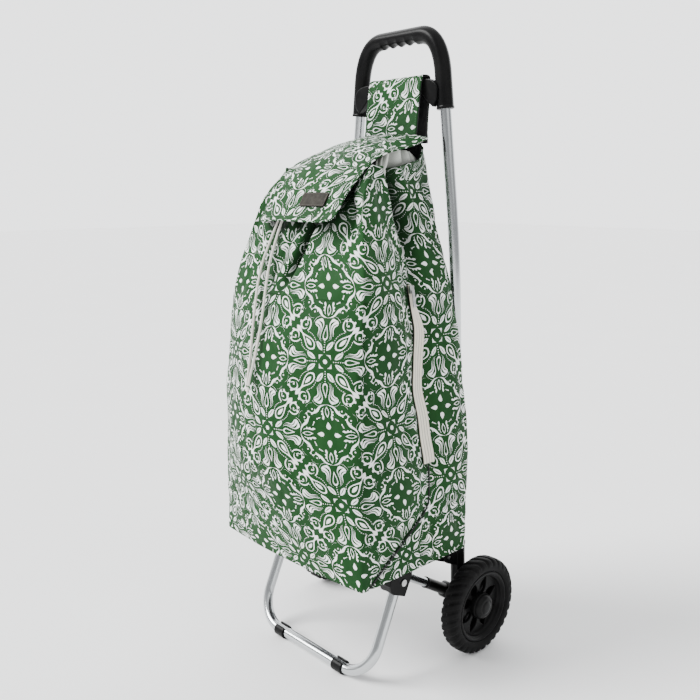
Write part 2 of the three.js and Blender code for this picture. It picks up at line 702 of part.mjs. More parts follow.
place('flap', flap(), PRINTED_FABRIC);
place('label_patch', labelPatch(), LABEL);
const hangingLoop = strip(LOOP_LINE, LOOP_THICKNESS, LOOP_HALF_WIDTH);
hangingLoop.translate(LOOP_CENTRE_X, 0, 0);
place('hanging_loop', hangingLoop, PRINTED_FABRIC);

// ---------------------------------------------------------------- side zip
const zipTop = point(...ZIP_TOP);
const zipWay = point(...ZIP_BOTTOM).sub(zipTop);

// A plate lying along the zip, at a share of its length, lifted off the seam.
function zipPlate(length, topWidth, bottomWidth, thickness, share, lift) {
  const outline = new THREE.Shape();
  outline.moveTo(-topWidth / 2, length / 2);
  outline.lineTo(-bottomWidth / 2, -length / 2);
  outline.lineTo(bottomWidth / 2, -length / 2);
  outline.lineTo(topWidth / 2, length / 2);
  const geometry = new THREE.ExtrudeGeometry(outline, { depth: thickness, bevelEnabled: false });
  geometry.translate(0, 0, -thickness / 2);
  geometry.rotateX(Math.PI / 2);
  geometry.rotateZ(Math.PI / 2);
  geometry.applyQuaternion(
    new THREE.Quaternion().setFromUnitVectors(point(0, 0, -1), zipWay.clone().normalize()));
  const centre = zipTop.clone().addScaledVector(zipWay, share);
  geometry.translate(centre.x + lift, centre.y, centre.z);
  return geometry;
}

const { topWidth, bottomWidth, thickness: tapeThickness, lift: tapeLift } = ZIP_TAPE;
const tape = zipPlate(zipWay.length(), topWidth, bottomWidth, tapeThickness, 0.5, tapeLift);
place('zip_tape', tape, ZIP);
place('zip_slider', zipPlate(11, 8, 8, 3, 0.025, tapeLift + 2.9), ZIP);
place('zip_pull', zipPlate(24, 5, 5, 1.2, 0.075, tapeLift + 5.6), ZIP);

// ---------------------------------------------------------------- drawstring
function eyelet(x) {
  const geometry = turned([[2.3, -1], [4.6, -1], [4.6, 1], [2.3, 1]], 16);
  geometry.rotateZ(Math.PI / 2);
  geometry.rotateX(-COLLAR_LEAN);
  geometry.translate(x, EYELET_CENTRE.y, EYELET_CENTRE.z);
  return geometry;
}

for (const [name, route] of Object.entries(CORD_ROUTES)) {
  const curve = new THREE.CatmullRomCurve3(route.map((p) => point(...p)));
  place(name, sweep(curve, CORD_RADIUS, CORD_STEPS, CORD_SIDES), CORD);
  place(name.replace('drawstring', 'eyelet'), eyelet(route[0][0]), STEEL);
}
const knot = new THREE.IcosahedronGeometry(KNOT.radius, 1);
knot.translate(KNOT.x, KNOT.y, KNOT.z);
place('drawstring_knot', knot, CORD);

export default trolley;
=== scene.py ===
"""Looks of the folding shopping trolley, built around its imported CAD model."""
import math

import bmesh
import bpy
import numpy as np
from mathutils import Matrix, Vector, noise


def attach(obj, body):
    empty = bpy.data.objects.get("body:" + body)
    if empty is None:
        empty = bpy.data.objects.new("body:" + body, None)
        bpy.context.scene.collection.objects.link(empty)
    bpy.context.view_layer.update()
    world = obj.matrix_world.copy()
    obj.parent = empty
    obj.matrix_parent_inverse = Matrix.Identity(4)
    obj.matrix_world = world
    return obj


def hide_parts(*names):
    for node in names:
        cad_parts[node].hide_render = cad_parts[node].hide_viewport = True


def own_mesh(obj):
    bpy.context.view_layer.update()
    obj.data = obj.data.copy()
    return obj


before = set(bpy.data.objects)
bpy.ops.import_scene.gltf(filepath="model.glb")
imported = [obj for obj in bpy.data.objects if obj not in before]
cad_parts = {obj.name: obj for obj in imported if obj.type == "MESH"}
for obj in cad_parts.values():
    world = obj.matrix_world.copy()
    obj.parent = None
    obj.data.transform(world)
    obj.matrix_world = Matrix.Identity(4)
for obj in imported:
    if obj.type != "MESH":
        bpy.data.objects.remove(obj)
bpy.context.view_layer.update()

AXLE_Y = 105.44         # mm; lengths below are in mm and y counts from the axle line
SCENE = bpy.context.scene
RIGHT, LEFT = 1, -1
SIDE_ON = ((0, 1, 0), (0, 0, 1), (1, 0, 0))     # axes of a plate that is drawn in the YZ plane
TUBE_RADIUS = 8
WHEEL_X, AXLE_Z = 166, 75                       # the middle of a wheel


def metres(points):
    """Points in mm about the axle line, as metres in the frame."""
    return (np.asarray(points, float) + (0, AXLE_Y, 0)) * 0.001


# ---- camera
def make_camera():
    data = bpy.data.cameras.new("photo_view")
    data.lens = 42.01
    data.sensor_width = 36
    camera = bpy.data.objects.new("photo_view", data)
    camera.location = (0.8810, -0.83506, 0.7014)
    camera.rotation_euler = (math.radians(90 - 11.01), 0, math.radians(46.84))
    SCENE.collection.objects.link(camera)
    SCENE.camera = camera


make_camera()


# ---- mesh helpers
def walked(points):
    """How far along a line each of its points lies."""
    steps = np.linalg.norm(np.diff(np.asarray(points, float), axis=0), axis=1)
    return np.concatenate([[0], np.cumsum(steps)])


def length_of(points):
    return float(walked(points)[-1])


def sample(line, places, wanted):
    """A line at the wanted places, given the place of each of its points."""
    return np.stack([np.interp(wanted, places, line[:, i]) for i in range(line.shape[1])], axis=-1)


def even_line(points, count):
    p = np.asarray(points, float)
    along = walked(p)
    return sample(p, along, np.linspace(0, along[-1], count))


def smooth_line(points, count):
    """count points spread evenly over a smooth curve through the points."""
    p = np.asarray(points, float)
    p = np.vstack([2 * p[0] - p[1], p, 2 * p[-1] - p[-2]])
    t = np.linspace(0, 1, 24, endpoint=False)[:, None]
    runs = []
    for a, b, c, d in zip(p, p[1:], p[2:], p[3:]):
        runs.append(0.5 * (2 * b + (c - a) * t + (2 * a - 5 * b + 4 * c - d) * t ** 2
                           + (3 * b - a - 3 * c + d) * t ** 3))
    return even_line(np.vstack([*runs, p[-2:-1]]), count)


def unit(vectors):
    return vectors / np.linalg.norm(vectors, axis=-1, keepdims=True)


def turns(count):
    """Angles spread evenly round a circle."""
    return np.linspace(0, math.tau, count, endpoint=False)


def add_object(name, mesh, *materials):
    for item in materials:
        mesh.materials.append(item)
    obj = bpy.data.objects.new(name, mesh)
    SCENE.collection.objects.link(obj)
    return obj


def add_mesh(name, points, faces, *materials):
    """A smooth-shaded object from points in mm."""
    mesh = bpy.data.meshes.new(name)
    mesh.from_pydata(metres(points).tolist(), [], faces)
    mesh.polygons.foreach_set("use_smooth", [True] * len(faces))
    return add_object(name, mesh, *materials)


def grid_mesh(name, grid, materials, uv=None, wrap=False, caps=False):
    """A surface through a grid of points in mm. uv holds, for each face, its four corners in mm."""
    grid = np.asarray(grid, float)
    rows, columns = grid.shape[:2]
    cells = columns if wrap else columns - 1
    r, c = np.meshgrid(np.arange(rows - 1), np.arange(cells), indexing="ij")
    after = (c + 1) % columns
    faces = np.stack([r * columns + c, r * columns + after,
                      (r + 1) * columns + after, (r + 1) * columns + c], axis=-1)
    faces = faces.reshape(-1, 4).tolist()
    if caps:
        faces.append(list(range(columns))[::-1])
        faces.append([(rows - 1) * columns + i for i in range(columns)])
    obj = add_mesh(name, grid.reshape(-1, 3), faces, *materials)
    if uv is None:
        uv = even_uv(grid, wrap)
    spare = sum(len(face) for face in faces) - 4 * (rows - 1) * cells
    flat = np.concatenate([np.asarray(uv, float).reshape(-1), np.zeros(2 * spare)]) * 0.001
    obj.data.uv_layers.new(name="print").data.foreach_set("uv", flat)
    return obj


def even_uv(grid, wrap):
    """Fabric coordinates of every face's corners, measured along the middle row and column."""
    rows, columns = grid.shape[:2]
    row = grid[rows // 2]
    if wrap:
        row = np.vstack([row, row[:1]])
    across = walked(row)
    return corner_uv(*np.meshgrid(across - across[-1] / 2, walked(grid[:, columns // 2])))


def corner_uv(u, v):
    low = np.stack([u, v], axis=-1)
    return np.stack([low[:-1, :-1], low[:-1, 1:], low[1:, 1:], low[1:, :-1]], axis=2)


def rings_along(path, radius, sides):
    """Rings round a path. radius is a number or a function of share and angle."""
    path = np.asarray(path, float)
    way = unit(np.gradient(path, axis=0))
    angles = turns(sides)
    across = np.cross(way[0], (0.05, 1, 0.02))      # no path starts this way
    rings = []
    for i, (centre, direction) in enumerate(zip(path, way)):
        across = unit(across - direction * (across @ direction))
        up = np.cross(direction, across)
        share = i / (len(path) - 1)
        reach = radius(share, angles) if callable(radius) else np.full(sides, radius)
        ring = np.outer(np.cos(angles), across) + np.outer(np.sin(angles), up)
        rings.append(centre + ring * reach[:, None])
    return np.array(rings)


def bar(name, path, radius, finish, sides):
    """A bar along a path, closed at its ends."""
    return grid_mesh(name, rings_along(path, radius, sides), [finish], wrap=True, caps=True)


def lathe(name, profile, finish, centre, sides, way):
    """A piece turned about the X axis. The profile holds (radius, distance along) pairs, which
    run to the right or left, as way says."""
    rings = [[(centre[0] + way * along, centre[1] + radius * math.cos(a),
               centre[2] + way * radius * math.sin(a)) for a in turns(sides)]
             for radius, along in profile]
    return grid_mesh(name, rings, [finish], wrap=True)


def plate(name, outlines, depth, bevel, axes, middle, finish):
    """A bevelled plate. The first outline is its rim and the others are its openings, in mm."""
    curve = bpy.data.curves.new(name, "CURVE")
    curve.dimensions = "2D"
    curve.fill_mode = "BOTH"
    curve.extrude = (depth / 2 - bevel) * 0.001
    curve.bevel_depth = bevel * 0.001
    curve.bevel_resolution = 2
    curve.offset = -bevel * 0.001
    for outline in outlines:
        spline = curve.splines.new("POLY")
        spline.points.add(len(outline) - 1)
        for point, (a, b) in zip(spline.points, outline):
            point.co = (a * 0.001, b * 0.001, 0, 1)
        spline.use_cyclic_u = True
    source = bpy.data.objects.new(name + "_drawing", curve)
    SCENE.collection.objects.link(source)
    bpy.context.view_layer.update()
    drawn = source.evaluated_get(bpy.context.evaluated_depsgraph_get())
    mesh = bpy.data.meshes.new_from_object(drawn)
    bpy.data.objects.remove(source)
    turn = Matrix([[*row, 0] for row in zip(*axes)] + [[0, 0, 0, 1]])
    mesh.transform(Matrix.Translation(metres([middle])[0]) @ turn)
    mesh.polygons.foreach_set("use_smooth", [True] * len(mesh.polygons))
    mesh.materials.clear()
    obj = add_object(name, mesh, finish)
    soften(obj, 0)
    return obj


def soften(obj, bevel):
    """Rounds an object's edges and evens its shading."""
    if bevel:
        edge = obj.modifiers.new("edge", "BEVEL")
        edge.width = bevel * 0.001
        edge.segments = 2
        edge.limit_method = "ANGLE"
        edge.angle_limit = math.radians(32)
    obj.modifiers.new("shading", "WEIGHTED_NORMAL")


def thicken(obj, thickness, inner=0):
    """Gives a sheet its thickness inward. inner is the material slot of its inner face."""
    wall = obj.modifiers.new("wall", "SOLIDIFY")
    wall.thickness = thickness * 0.001
    wall.offset = -1
    wall.material_offset = inner
    return obj


def joined(name, parts):
    """Makes one piece of several meshes with the same finish."""
    whole = bmesh.new()
    finish = parts[0].data.materials[0]
    for part in parts:
        evaluated = part.evaluated_get(bpy.context.evaluated_depsgraph_get())
        whole.from_mesh(bpy.data.meshes.new_from_object(evaluated))
    for part in parts:
        bpy.data.objects.remove(part)
    mesh = bpy.data.meshes.new(name)
    whole.to_mesh(mesh)
    whole.free()
    return add_object(name, mesh, finish)


def stands_for(piece, body, slot, *nodes):
    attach(piece, body)
    if nodes:
        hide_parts(*nodes)
    return piece


def side_name(stem, side):
    return f"{stem}_{'right' if side == RIGHT else 'left'}"


def mirrored(points, side):
    return np.asarray(points, float) * (side, 1, 1)


# ---- print pattern
PRINT_PITCH = 100.0   # from a medallion to the next bud meeting, in mm
DRAWN_PITCH = 97      # the same length as the shapes below are drawn


def add_node(tree, kind, inputs=None, **settings):
    """A shader node. inputs holds a value, or a socket to link, for each of its sockets."""
    node = tree.nodes.new("ShaderNode" + kind)
    for name, value in settings.items():
        setattr(node, name, value)
    for socket, value in (inputs or {}).items():
        value = getattr(value, "socket", value)
        if isinstance(value, bpy.types.NodeSocket):
            tree.links.new(value, node.inputs[socket])
        else:
            node.inputs[socket].default_value = value
    return node


class Value:
    """One number in a shader tree. Arithmetic on it adds math nodes."""

    def __init__(self, tree, socket):
        self.tree = tree
        self.socket = socket

    def op(self, operation, *others):
        inputs = dict(enumerate((self, *others)))
        return Value(self.tree, add_node(self.tree, "Math", inputs, operation=operation).outputs[0])

    def __add__(self, other):
        return self.op("ADD", other)

    def __sub__(self, other):
        return self.op("SUBTRACT", other)

    def __mul__(self, other):
        return self.op("MULTIPLY", other)

    __and__ = __mul__

    def __lt__(self, other):
        return self.op("LESS_THAN", other)

    def __gt__(self, other):
        return self.op("GREATER_THAN", other)

    def __or__(self, other):
        return self.op("MAXIMUM", other)

    def without(self, other):
        return self & (other < 0.5)

    def near(self, centre, reach):
        return self.op("COMPARE", centre, reach)

    def curve(self, points):
        """A smooth function of this value, given as (in, out) pairs."""
        node = add_node(self.tree, "FloatCurve", {"Value": self})
        node.mapping.use_clip = False
        line = node.mapping.curves[0]
        line.points[0].location = points[0]
        line.points[1].location = points[-1]
        for pair in points[1:-1]:
            line.points.new(*pair)
        node.mapping.update()
        return Value(self.tree, node.outputs[0])


class Plane:
    """Shapes drawn on a plane of print coordinates, each a Value that is 1 inside. They are
    drawn thinner by trim all round; cut is the same plane for shapes that are taken out."""

    def __init__(self, x, y, trim=0.68, cut_trim=-0.4):
        self.x = x
        self.y = y
        self.tree = x.tree
        self.point = add_node(x.tree, "CombineXYZ", {0: x, 1: y}).outputs[0]
        self.trim = trim
        self.cut = Plane(x, y, cut_trim, None) if cut_trim else None

    def measure(self, operation, *vectors):
        inputs = dict(enumerate(vectors))
        return add_node(self.tree, "VectorMath", inputs, operation=operation).outputs

    def distance(self, x, y):
        return Value(self.tree, self.measure("DISTANCE", self.point, (x, y, 0))["Value"])

    def disc(self, x, y, radius):
        return self.distance(x, y) < radius - self.trim

    def ring(self, x, y, radius, stroke):
        return self.distance(x, y).near(radius, stroke / 2 - self.trim * 0.4)

    def crescent(self, x, y, radius, shift_x, shift_y, inner):
        return self.disc(x, y, radius).without(self.cut.disc(x + shift_x, y + shift_y, inner))

    def local(self, x, y, degrees, long, wide):
        inputs = {"Vector": self.point, "Location": (x, y, 0),
                  "Rotation": (0, 0, math.radians(degrees)), "Scale": (long, wide, 1)}
        return add_node(self.tree, "Mapping", inputs, vector_type="TEXTURE").outputs[0]

    def oval(self, x, y, degrees, long, wide):
        """An ellipse with the half lengths long and wide."""
        place = self.local(x, y, degrees, long - self.trim, wide - self.trim * 0.6)
        return Value(self.tree, self.measure("LENGTH", place)["Value"]) < 1

    def leaf(self, x, y, degrees, long, wide):
        """A leaf pointed at both ends, as two arcs that meet."""
        place = self.local(x, y, degrees, long - self.trim, wide - self.trim)
        folded = self.measure("ABSOLUTE", place)[0]
        return Value(self.tree, self.measure("DISTANCE", folded, (0, -0.9, 0))["Value"]) < 1.35

    def between(self, low, high):
        """Inside the strip low(x) < y < high(x)."""
        above = self.y - self.trim > self.x.curve(low)
        return above & (self.y + self.trim < self.x.curve(high))

    def under(self, outline):
        return self.y + self.trim < self.x.curve(outline)

    def stroke(self, line, width):
        """A line y(x), with its own half width(x)."""
        off = (self.y - self.x.curve(line)).op("ABSOLUTE")
        return off + self.trim * 0.6 < self.x.curve(width)


def tulip(arm):
    """The tulip on a medallion's arm, from 27 to 56 mm: a drop between two striped petals."""
    heart = arm.under([
        (27.4, -0.2), (28.6, 2.4), (31, 3.9), (34.5, 4.1), (40, 2.9), (46, 1.2), (51, -0.2)])
    hollow = arm.cut.under([(30, -0.2), (31.4, 1.6), (34, 2.2), (38, 1.5), (44, -0.2)])
    outer = [
        (26.6, 2.2), (28, 7.4), (31, 11), (36, 12), (41, 11.6), (44.5, 13), (47, 16.6), (49.5, 18.2),
        (52.5, 16.8), (54.6, 13), (56, 8.6),
    ]
    inner = [
        (26.6, 2.4), (29, 5.2), (33, 6.3), (38, 5.8), (43, 4.4), (48, 3.6), (52, 4.6), (54.6, 6.4),
        (56, 8.4),
    ]
    first_rib = [
        (27, 3), (30, 7.4), (34, 8.3), (39, 7.6), (44, 6.4), (48, 6.8), (51, 9.4), (52.8, 13),
    ]
    second_rib = [
        (27, 3), (30, 9.2), (34, 10.1), (39, 9.4), (43, 9), (46, 10.6), (48, 13.4), (49.2, 18),
    ]
    thin = [(27, 0.2), (30, 0.5), (44, 0.55), (48, 1.2), (51, 1.5), (53, 0.2)]
    petal = arm.between(inner, outer)
    ribs = arm.cut.stroke(first_rib, thin) & (arm.x < 53)
    ribs = ribs | (arm.cut.stroke(second_rib, thin) & (arm.x < 49.6))
    flick = arm.ring(46.4, 8.6, 12.4, 0.8) & (arm.y > 10) & (arm.x > 51)
    return heart.without(hollow) | petal.without(ribs) | flick


def bud(arm):
    """The bud beyond the tulip, from 57 to 90 mm, with its drops and curled tendril."""
    heart = arm.under([(57.6, -0.2), (60, 1.3), (64, 3.1), (69, 2.9), (73, 1.2), (75.4, -0.2)])
    hollow = arm.cut.under([(61, -0.2), (64, 1.3), (68, 1.3), (71.4, -0.2)])
    leaf_out = [
        (58, 1.2), (60, 4.6), (62.6, 7), (64, 6.9), (66, 9.4), (67.2, 7.8), (70, 9.4), (71.4, 7.4),
        (75, 8.4), (78, 6),
    ]
    leaf_in = [(58, 1.6), (61, 4.1), (65, 5.2), (70, 4.7), (74, 4), (78, 6.2)]
    leaves = arm.between(leaf_in, leaf_out)
    drop = arm.under([(78, -0.2), (80, 0.9), (83, 2.6), (86, 3.7), (88.4, 3), (90, -0.2)])
    side_drops = arm.oval(75.4, 13, 65, 3.4, 0.9) | arm.disc(76.6, 15.6, 1.6)
    vine = arm.stroke(
        [(56.4, 1.2), (57.4, 5.6), (60, 10), (64, 13.4), (67.4, 16.4), (69.4, 19.6)],
        [(56, 0.2), (57, 2), (60, 2), (69, 2.2), (70.4, 0.4)])
    curl = arm.crescent(64.6, 22, 5.6, -0.7, 0.5, 4) & ((arm.x > 63.4) | (arm.y > 22.6))
    eye = arm.disc(63.8, 21.6, 1.7)
    fringe = arm.leaf(70.4, 22.4, 10, 2, 2.8) | arm.leaf(67.2, 27.4, 60, 2, 2.8)
    flick = arm.ring(64, 22.4, 8.4, 0.7) & (arm.x < 61) & (arm.y > 21)
    return heart.without(hollow) | leaves | drop | side_drops | vine | curl | eye | fringe | flick


def medallion(arm):
    """The middle of a medallion: dot, corner brackets, beads along the arm, leaf pair."""
    dot = arm.disc(0, 0, 3.7)
    corner = (arm.x < 9).without(arm.disc(0, 0, 10)) & (arm.y > 2.4)
    bead = Plane(arm.x.op("PINGPONG", 1.6), arm.y).disc(0, 0, 1.3)
    beads = bead & arm.x.near(19.2, 8.4)
    leaf = arm.leaf(20.6, 7.6, 36, 7.8, 7.4)
    vein = arm.cut.leaf(21, 7.5, 36, 5.4, 0.9)
    return dot | corner | beads | leaf.without(vein)


def almond(diagonal):
    """The almond on a medallion's diagonal, with its two spirals and fan of flames."""
    rim = diagonal.under([
        (22.4, -0.2), (24, 3.4), (27.4, 6.2), (32, 7.3), (38, 6.3), (44, 3.9), (49, 2), (52.6, 1.6),
        (56, 2.8), (60, 4.6),
    ]) & (diagonal.x < 60)
    hollow = diagonal.cut.under([(25, -0.2), (27.4, 3.4), (32, 5), (37, 4.2), (42, 2.1), (46.4, -0.2)])
    kernel = diagonal.under([(28, -0.2), (30.8, 1.9), (34.4, 3), (38, 2.4), (43.6, -0.2)])
    hole = diagonal.cut.disc(56.6, 10.6, 5.1)
    spiral = diagonal.disc(57.5, 9.6, 7.2).without(hole)
    eye = diagonal.disc(55.6, 10.6, 1.8)
    hook = diagonal.ring(57, 11.4, 3.2, 1.5) & (diagonal.x < 57) & (diagonal.y > 11)
    shadow = diagonal.crescent(56.6, 10, 10.4, 1.5, -1.3, 9.6) & (diagonal.y > 8)
    flame = diagonal.under([(57, 3), (60, 3.6), (63, 2.2), (65.6, -0.2)]) & (diagonal.x > 57)
    side_flames = diagonal.leaf(64.2, 7.6, 20, 3, 4) | diagonal.leaf(62.6, 14.8, 55, 3, 4)
    last_flame = diagonal.leaf(58, 17.4, 92, 2.6, 3.6)
    along = diagonal.x.op("PINGPONG", 1.5)
    beads = diagonal.distance(36, -6.4).near(17.4, 0.32) & (along < 0.75) & diagonal.x.near(36, 10)
    body = rim.without(hollow).without(hole) | kernel | spiral | eye | hook | shadow | beads
    return body | flame | side_flames | last_flame


def damask(x, y):
    """1 where the print is white. x and y are fabric coordinates in mm."""
    x = x.op("PINGPONG", PRINT_PITCH)
    y = y.op("PINGPONG", PRINT_PITCH)
    past = (x + y) > PRINT_PITCH
    swap = past * (x + y - PRINT_PITCH)
    x, y = x - swap, y - swap
    scale = DRAWN_PITCH / PRINT_PITCH
    arm = Plane(x.op("MAXIMUM", y) * scale, x.op("MINIMUM", y) * scale)
    half = math.sqrt(0.5)
    diagonal = Plane((arm.x + arm.y) * half, (arm.x - arm.y) * half)
    return medallion(arm) | tulip(arm) | bud(arm) | almond(diagonal)


# ---- finishes
def spread(value, low, high, span=(0.3, 0.7)):
    """Stretches the part of a value that lies in a span to a range."""
    inputs = {"Value": value, "From Min": span[0], "From Max": span[1], "To Min": low, "To Max": high}
    return Value(value.tree, add_node(value.tree, "MapRange", inputs).outputs["Result"])


def weave(x, y, thread):
    """Height of a plain weave with threads that many mm wide."""
    turn = math.pi / thread
    return (x * turn).op("SINE") * (y * turn).op("SINE") * 0.5 + 0.5


class Finish:
    """A Principled material and what shades it. Colours are linear."""

    def __init__(self, name, colour, roughness, **settings):
        self.item = bpy.data.materials.new(name)
        self.item.use_nodes = True
        self.tree = self.item.node_tree
        self.inputs = self.tree.nodes["Principled BSDF"].inputs
        self.inputs["Base Color"].default_value = (*colour, 1)
        self.inputs["Roughness"].default_value = roughness
        for socket, value in settings.items():
            self.inputs[socket.replace("_", " ")].default_value = value

    def grain(self, scale, stretch=(1, 1, 1), detail=3, source="Object"):
        """Smooth noise over the object or its fabric coordinates. stretch squeezes it by axis."""
        place = add_node(self.tree, "TexCoord").outputs[source]
        place = add_node(self.tree, "Mapping", {"Vector": place, "Scale": stretch}).outputs[0]
        inputs = {"Vector": place, "Scale": scale, "Detail": detail}
        return Value(self.tree, add_node(self.tree, "TexNoise", inputs).outputs["Fac"])

    def clouds(self, scale):
        return spread(self.grain(scale), 0, 1)

    def fabric(self):
        """Across and along the cloth, in mm."""
        place = add_node(self.tree, "UVMap", uv_map="print").outputs[0]
        parts = add_node(self.tree, "SeparateXYZ", {0: place})
        return [Value(self.tree, parts.outputs[i]) * 1000 for i in (0, 1)]

    def painted_fold_shade(self, reach, span=(0.3, 0.88)):
        """1 in the open, falling to 0 deep in a fold: painted shade, from the ambient occlusion."""
        node = add_node(self.tree, "AmbientOcclusion", {"Distance": reach}, samples=6)
        return spread(Value(self.tree, node.outputs["AO"]), 0, 1, span)

    def blend(self, share, low, high):
        """A mix of two colours, each given as a tuple or a socket."""
        low, high = ((*c, 1) if isinstance(c, tuple) else c for c in (low, high))
        inputs = {"Factor": share, 6: low, 7: high}
        return add_node(self.tree, "Mix", inputs, data_type="RGBA").outputs[2]

    def tint(self, share, low, high):
        self.tree.links.new(self.blend(share, low, high), self.inputs["Base Color"])

    def gloss(self, roughness):
        self.tree.links.new(roughness.socket, self.inputs["Roughness"])

    def bumps(self, height, depth, strength):
        """Bump from a height of 0 to 1, depth in mm."""
        inputs = {"Height": height, "Distance": depth * 0.001, "Strength": strength}
        self.tree.links.new(add_node(self.tree, "Bump", inputs).outputs[0], self.inputs["Normal"])


def printed_cloth():
    cloth = Finish("printed_cloth", (0.012, 0.055, 0.014), 0.6, Specular_IOR_Level=0.06)
    x, y = cloth.fabric()
    white = damask(x, y)
    green = cloth.blend(cloth.clouds(9), (0.009, 0.042, 0.011), (0.0125, 0.058, 0.0145))
    paint = cloth.blend(cloth.clouds(40), (0.84, 0.87, 0.84), (0.9, 0.92, 0.9))
    # Painted shade: the cloth darkens to near black deep in its folds.
    cloth.tint(cloth.painted_fold_shade(0.08), (0.004, 0.012, 0.005), cloth.blend(white, green, paint))
    cloth.gloss(spread(cloth.grain(25), 0.46, 0.62) - white * 0.04)
    cloth.bumps(weave(x, y, 0.55) * 0.1 + cloth.grain(95, detail=4) * 0.9 + white * 0.03, 1.6, 0.6)
    return cloth.item


def satin_lining():
    satin = Finish("satin_lining", (0.8, 0.82, 0.78), 0.3, Specular_IOR_Level=0.6)
    x, y = satin.fabric()
    tone = satin.blend(satin.clouds(30), (0.66, 0.7, 0.63), (0.84, 0.87, 0.81))
    # Painted shade: the satin darkens to near black deep in its folds.
    satin.tint(satin.painted_fold_shade(0.03, (0.1, 0.8)), (0.06, 0.07, 0.055), tone)
    satin.gloss(spread(satin.grain(60), 0.24, 0.4))
    satin.bumps(weave(x, y, 0.4) * 0.1 + satin.grain(70) * 0.9, 1.4, 0.6)
    return satin.item


def dark_lining():
    lining = Finish("dark_lining", (0.012, 0.012, 0.013), 0.7)
    x, y = lining.fabric()
    lining.tint(lining.clouds(50), (0.003, 0.003, 0.0035), (0.009, 0.009, 0.01))
    lining.bumps(weave(x, y, 0.7) * 0.4 + lining.grain(80) * 0.6, 0.6, 0.5)
    return lining.item


def drawn_aluminium():
    metal = Finish("drawn_aluminium", (0.66, 0.68, 0.69), 0.2, Metallic=1, Anisotropic=0.3)
    streaks = metal.grain(260, (1, 0.012, 1), source="UV")
    metal.gloss(spread(streaks * 0.6 + metal.grain(22) * 0.4, 0.14, 0.26))
    metal.tint(spread(streaks, 0, 1), (0.44, 0.46, 0.47), (0.6, 0.62, 0.63))
    metal.bumps(streaks, 0.015, 0.3)
    return metal.item


def zinc_steel():
    metal = Finish("zinc_steel", (0.6, 0.6, 0.6), 0.35, Metallic=1)
    patches = metal.grain(160)
    metal.tint(spread(patches, 0, 1), (0.46, 0.46, 0.47), (0.68, 0.68, 0.67))
    metal.gloss(spread(metal.grain(400), 0.25, 0.45))
    metal.bumps(patches, 0.04, 0.3)
    return metal.item


def moulded(name, colour, low, high, pit, depth):
    """Dark moulded plastic, foam or board: fine pitting, uneven gloss and slight fading."""
    mould = Finish(name, (colour,) * 3, low, Specular_IOR_Level=0.09)
    clouds = mould.grain(30)
    pits = mould.grain(pit, detail=2)
    mould.tint(spread(clouds, 0, 1), (colour, colour, colour * 1.05), (colour * 1.7 + 0.0005,) * 3)
    mould.gloss(spread(clouds * 0.5 + pits * 0.5, low, high))
    mould.bumps(pits, depth, 0.5)
    return mould.item


def braided_cord():
    cord = Finish("braided_cord", (0.8, 0.78, 0.7), 0.8, Sheen_Weight=0.3)
    x, y = cord.fabric()
    braid = ((x * 1.7 + y * 2.2).op("SINE") | (x * 1.7 - y * 2.2).op("SINE")) * 0.5 + 0.5
    cord.tint(braid, (0.5, 0.48, 0.42), (0.86, 0.84, 0.77))
    cord.bumps(braid, 0.3, 0.6)
    return cord.item


def thread(name, low, high):
    sewn = Finish(name, low, 0.7, Sheen_Weight=0.2)
    sewn.tint(sewn.clouds(500), low, high)
    sewn.bumps(sewn.grain(2200), 0.1, 0.5)
    return sewn.item


def zip_cloth():
    tape = Finish("zip_cloth", (0.6, 0.57, 0.47), 0.6, Sheen_Weight=0.2)
    x, y = tape.fabric()
    ribs = spread((x * (math.tau / ZIP_CLOTH_HALF)).op("SINE").op("ABSOLUTE"), 0, 1, (0.15, 0.6))
    tape.tint(ribs, (0.1, 0.09, 0.06), (0.78, 0.74, 0.62))
    tape.bumps(ribs * 0.6 + weave(x, y, 0.5) * 0.4, 0.4, 0.6)
    return tape.item


def label_leather():
    leather = Finish("label_leather", (0.045, 0.038, 0.027), 0.6, Specular_IOR_Level=0.1)
    place = add_node(leather.tree, "TexCoord").outputs["Object"]
    hide = add_node(leather.tree, "TexVoronoi", {"Vector": place, "Scale": 900})
    leather.tint(leather.clouds(120), (0.014, 0.012, 0.009), (0.03, 0.026, 0.019))
    leather.gloss(spread(leather.grain(200), 0.45, 0.65))
    leather.bumps(Value(leather.tree, hide.outputs["Distance"]), 0.25, 0.6)
    return leather.item


ZIP_CLOTH_HALF = 9      # half the zip tape's width in fabric coordinates
CLOTH = printed_cloth()
SATIN = satin_lining()
DARK = dark_lining()
ALUMINIUM = drawn_aluminium()
STEEL = zinc_steel()
PLASTIC = moulded("satin_plastic", 0.0035, 0.26, 0.4, 1400, 0.06)
FOAM = moulded("foam_rubber", 0.0035, 0.5, 0.72, 700, 0.2)
BOARD = moulded("pressed_board", 0.03, 0.7, 0.9, 300, 0.3)
CORD = braided_cord()
ZIP_CLOTH = zip_cloth()
LEATHER = label_leather()
GREEN_THREAD = thread("green_thread", (0.012, 0.06, 0.016), (0.03, 0.11, 0.036))
DARK_THREAD = thread("dark_thread", (0.05, 0.045, 0.035), (0.09, 0.08, 0.06))


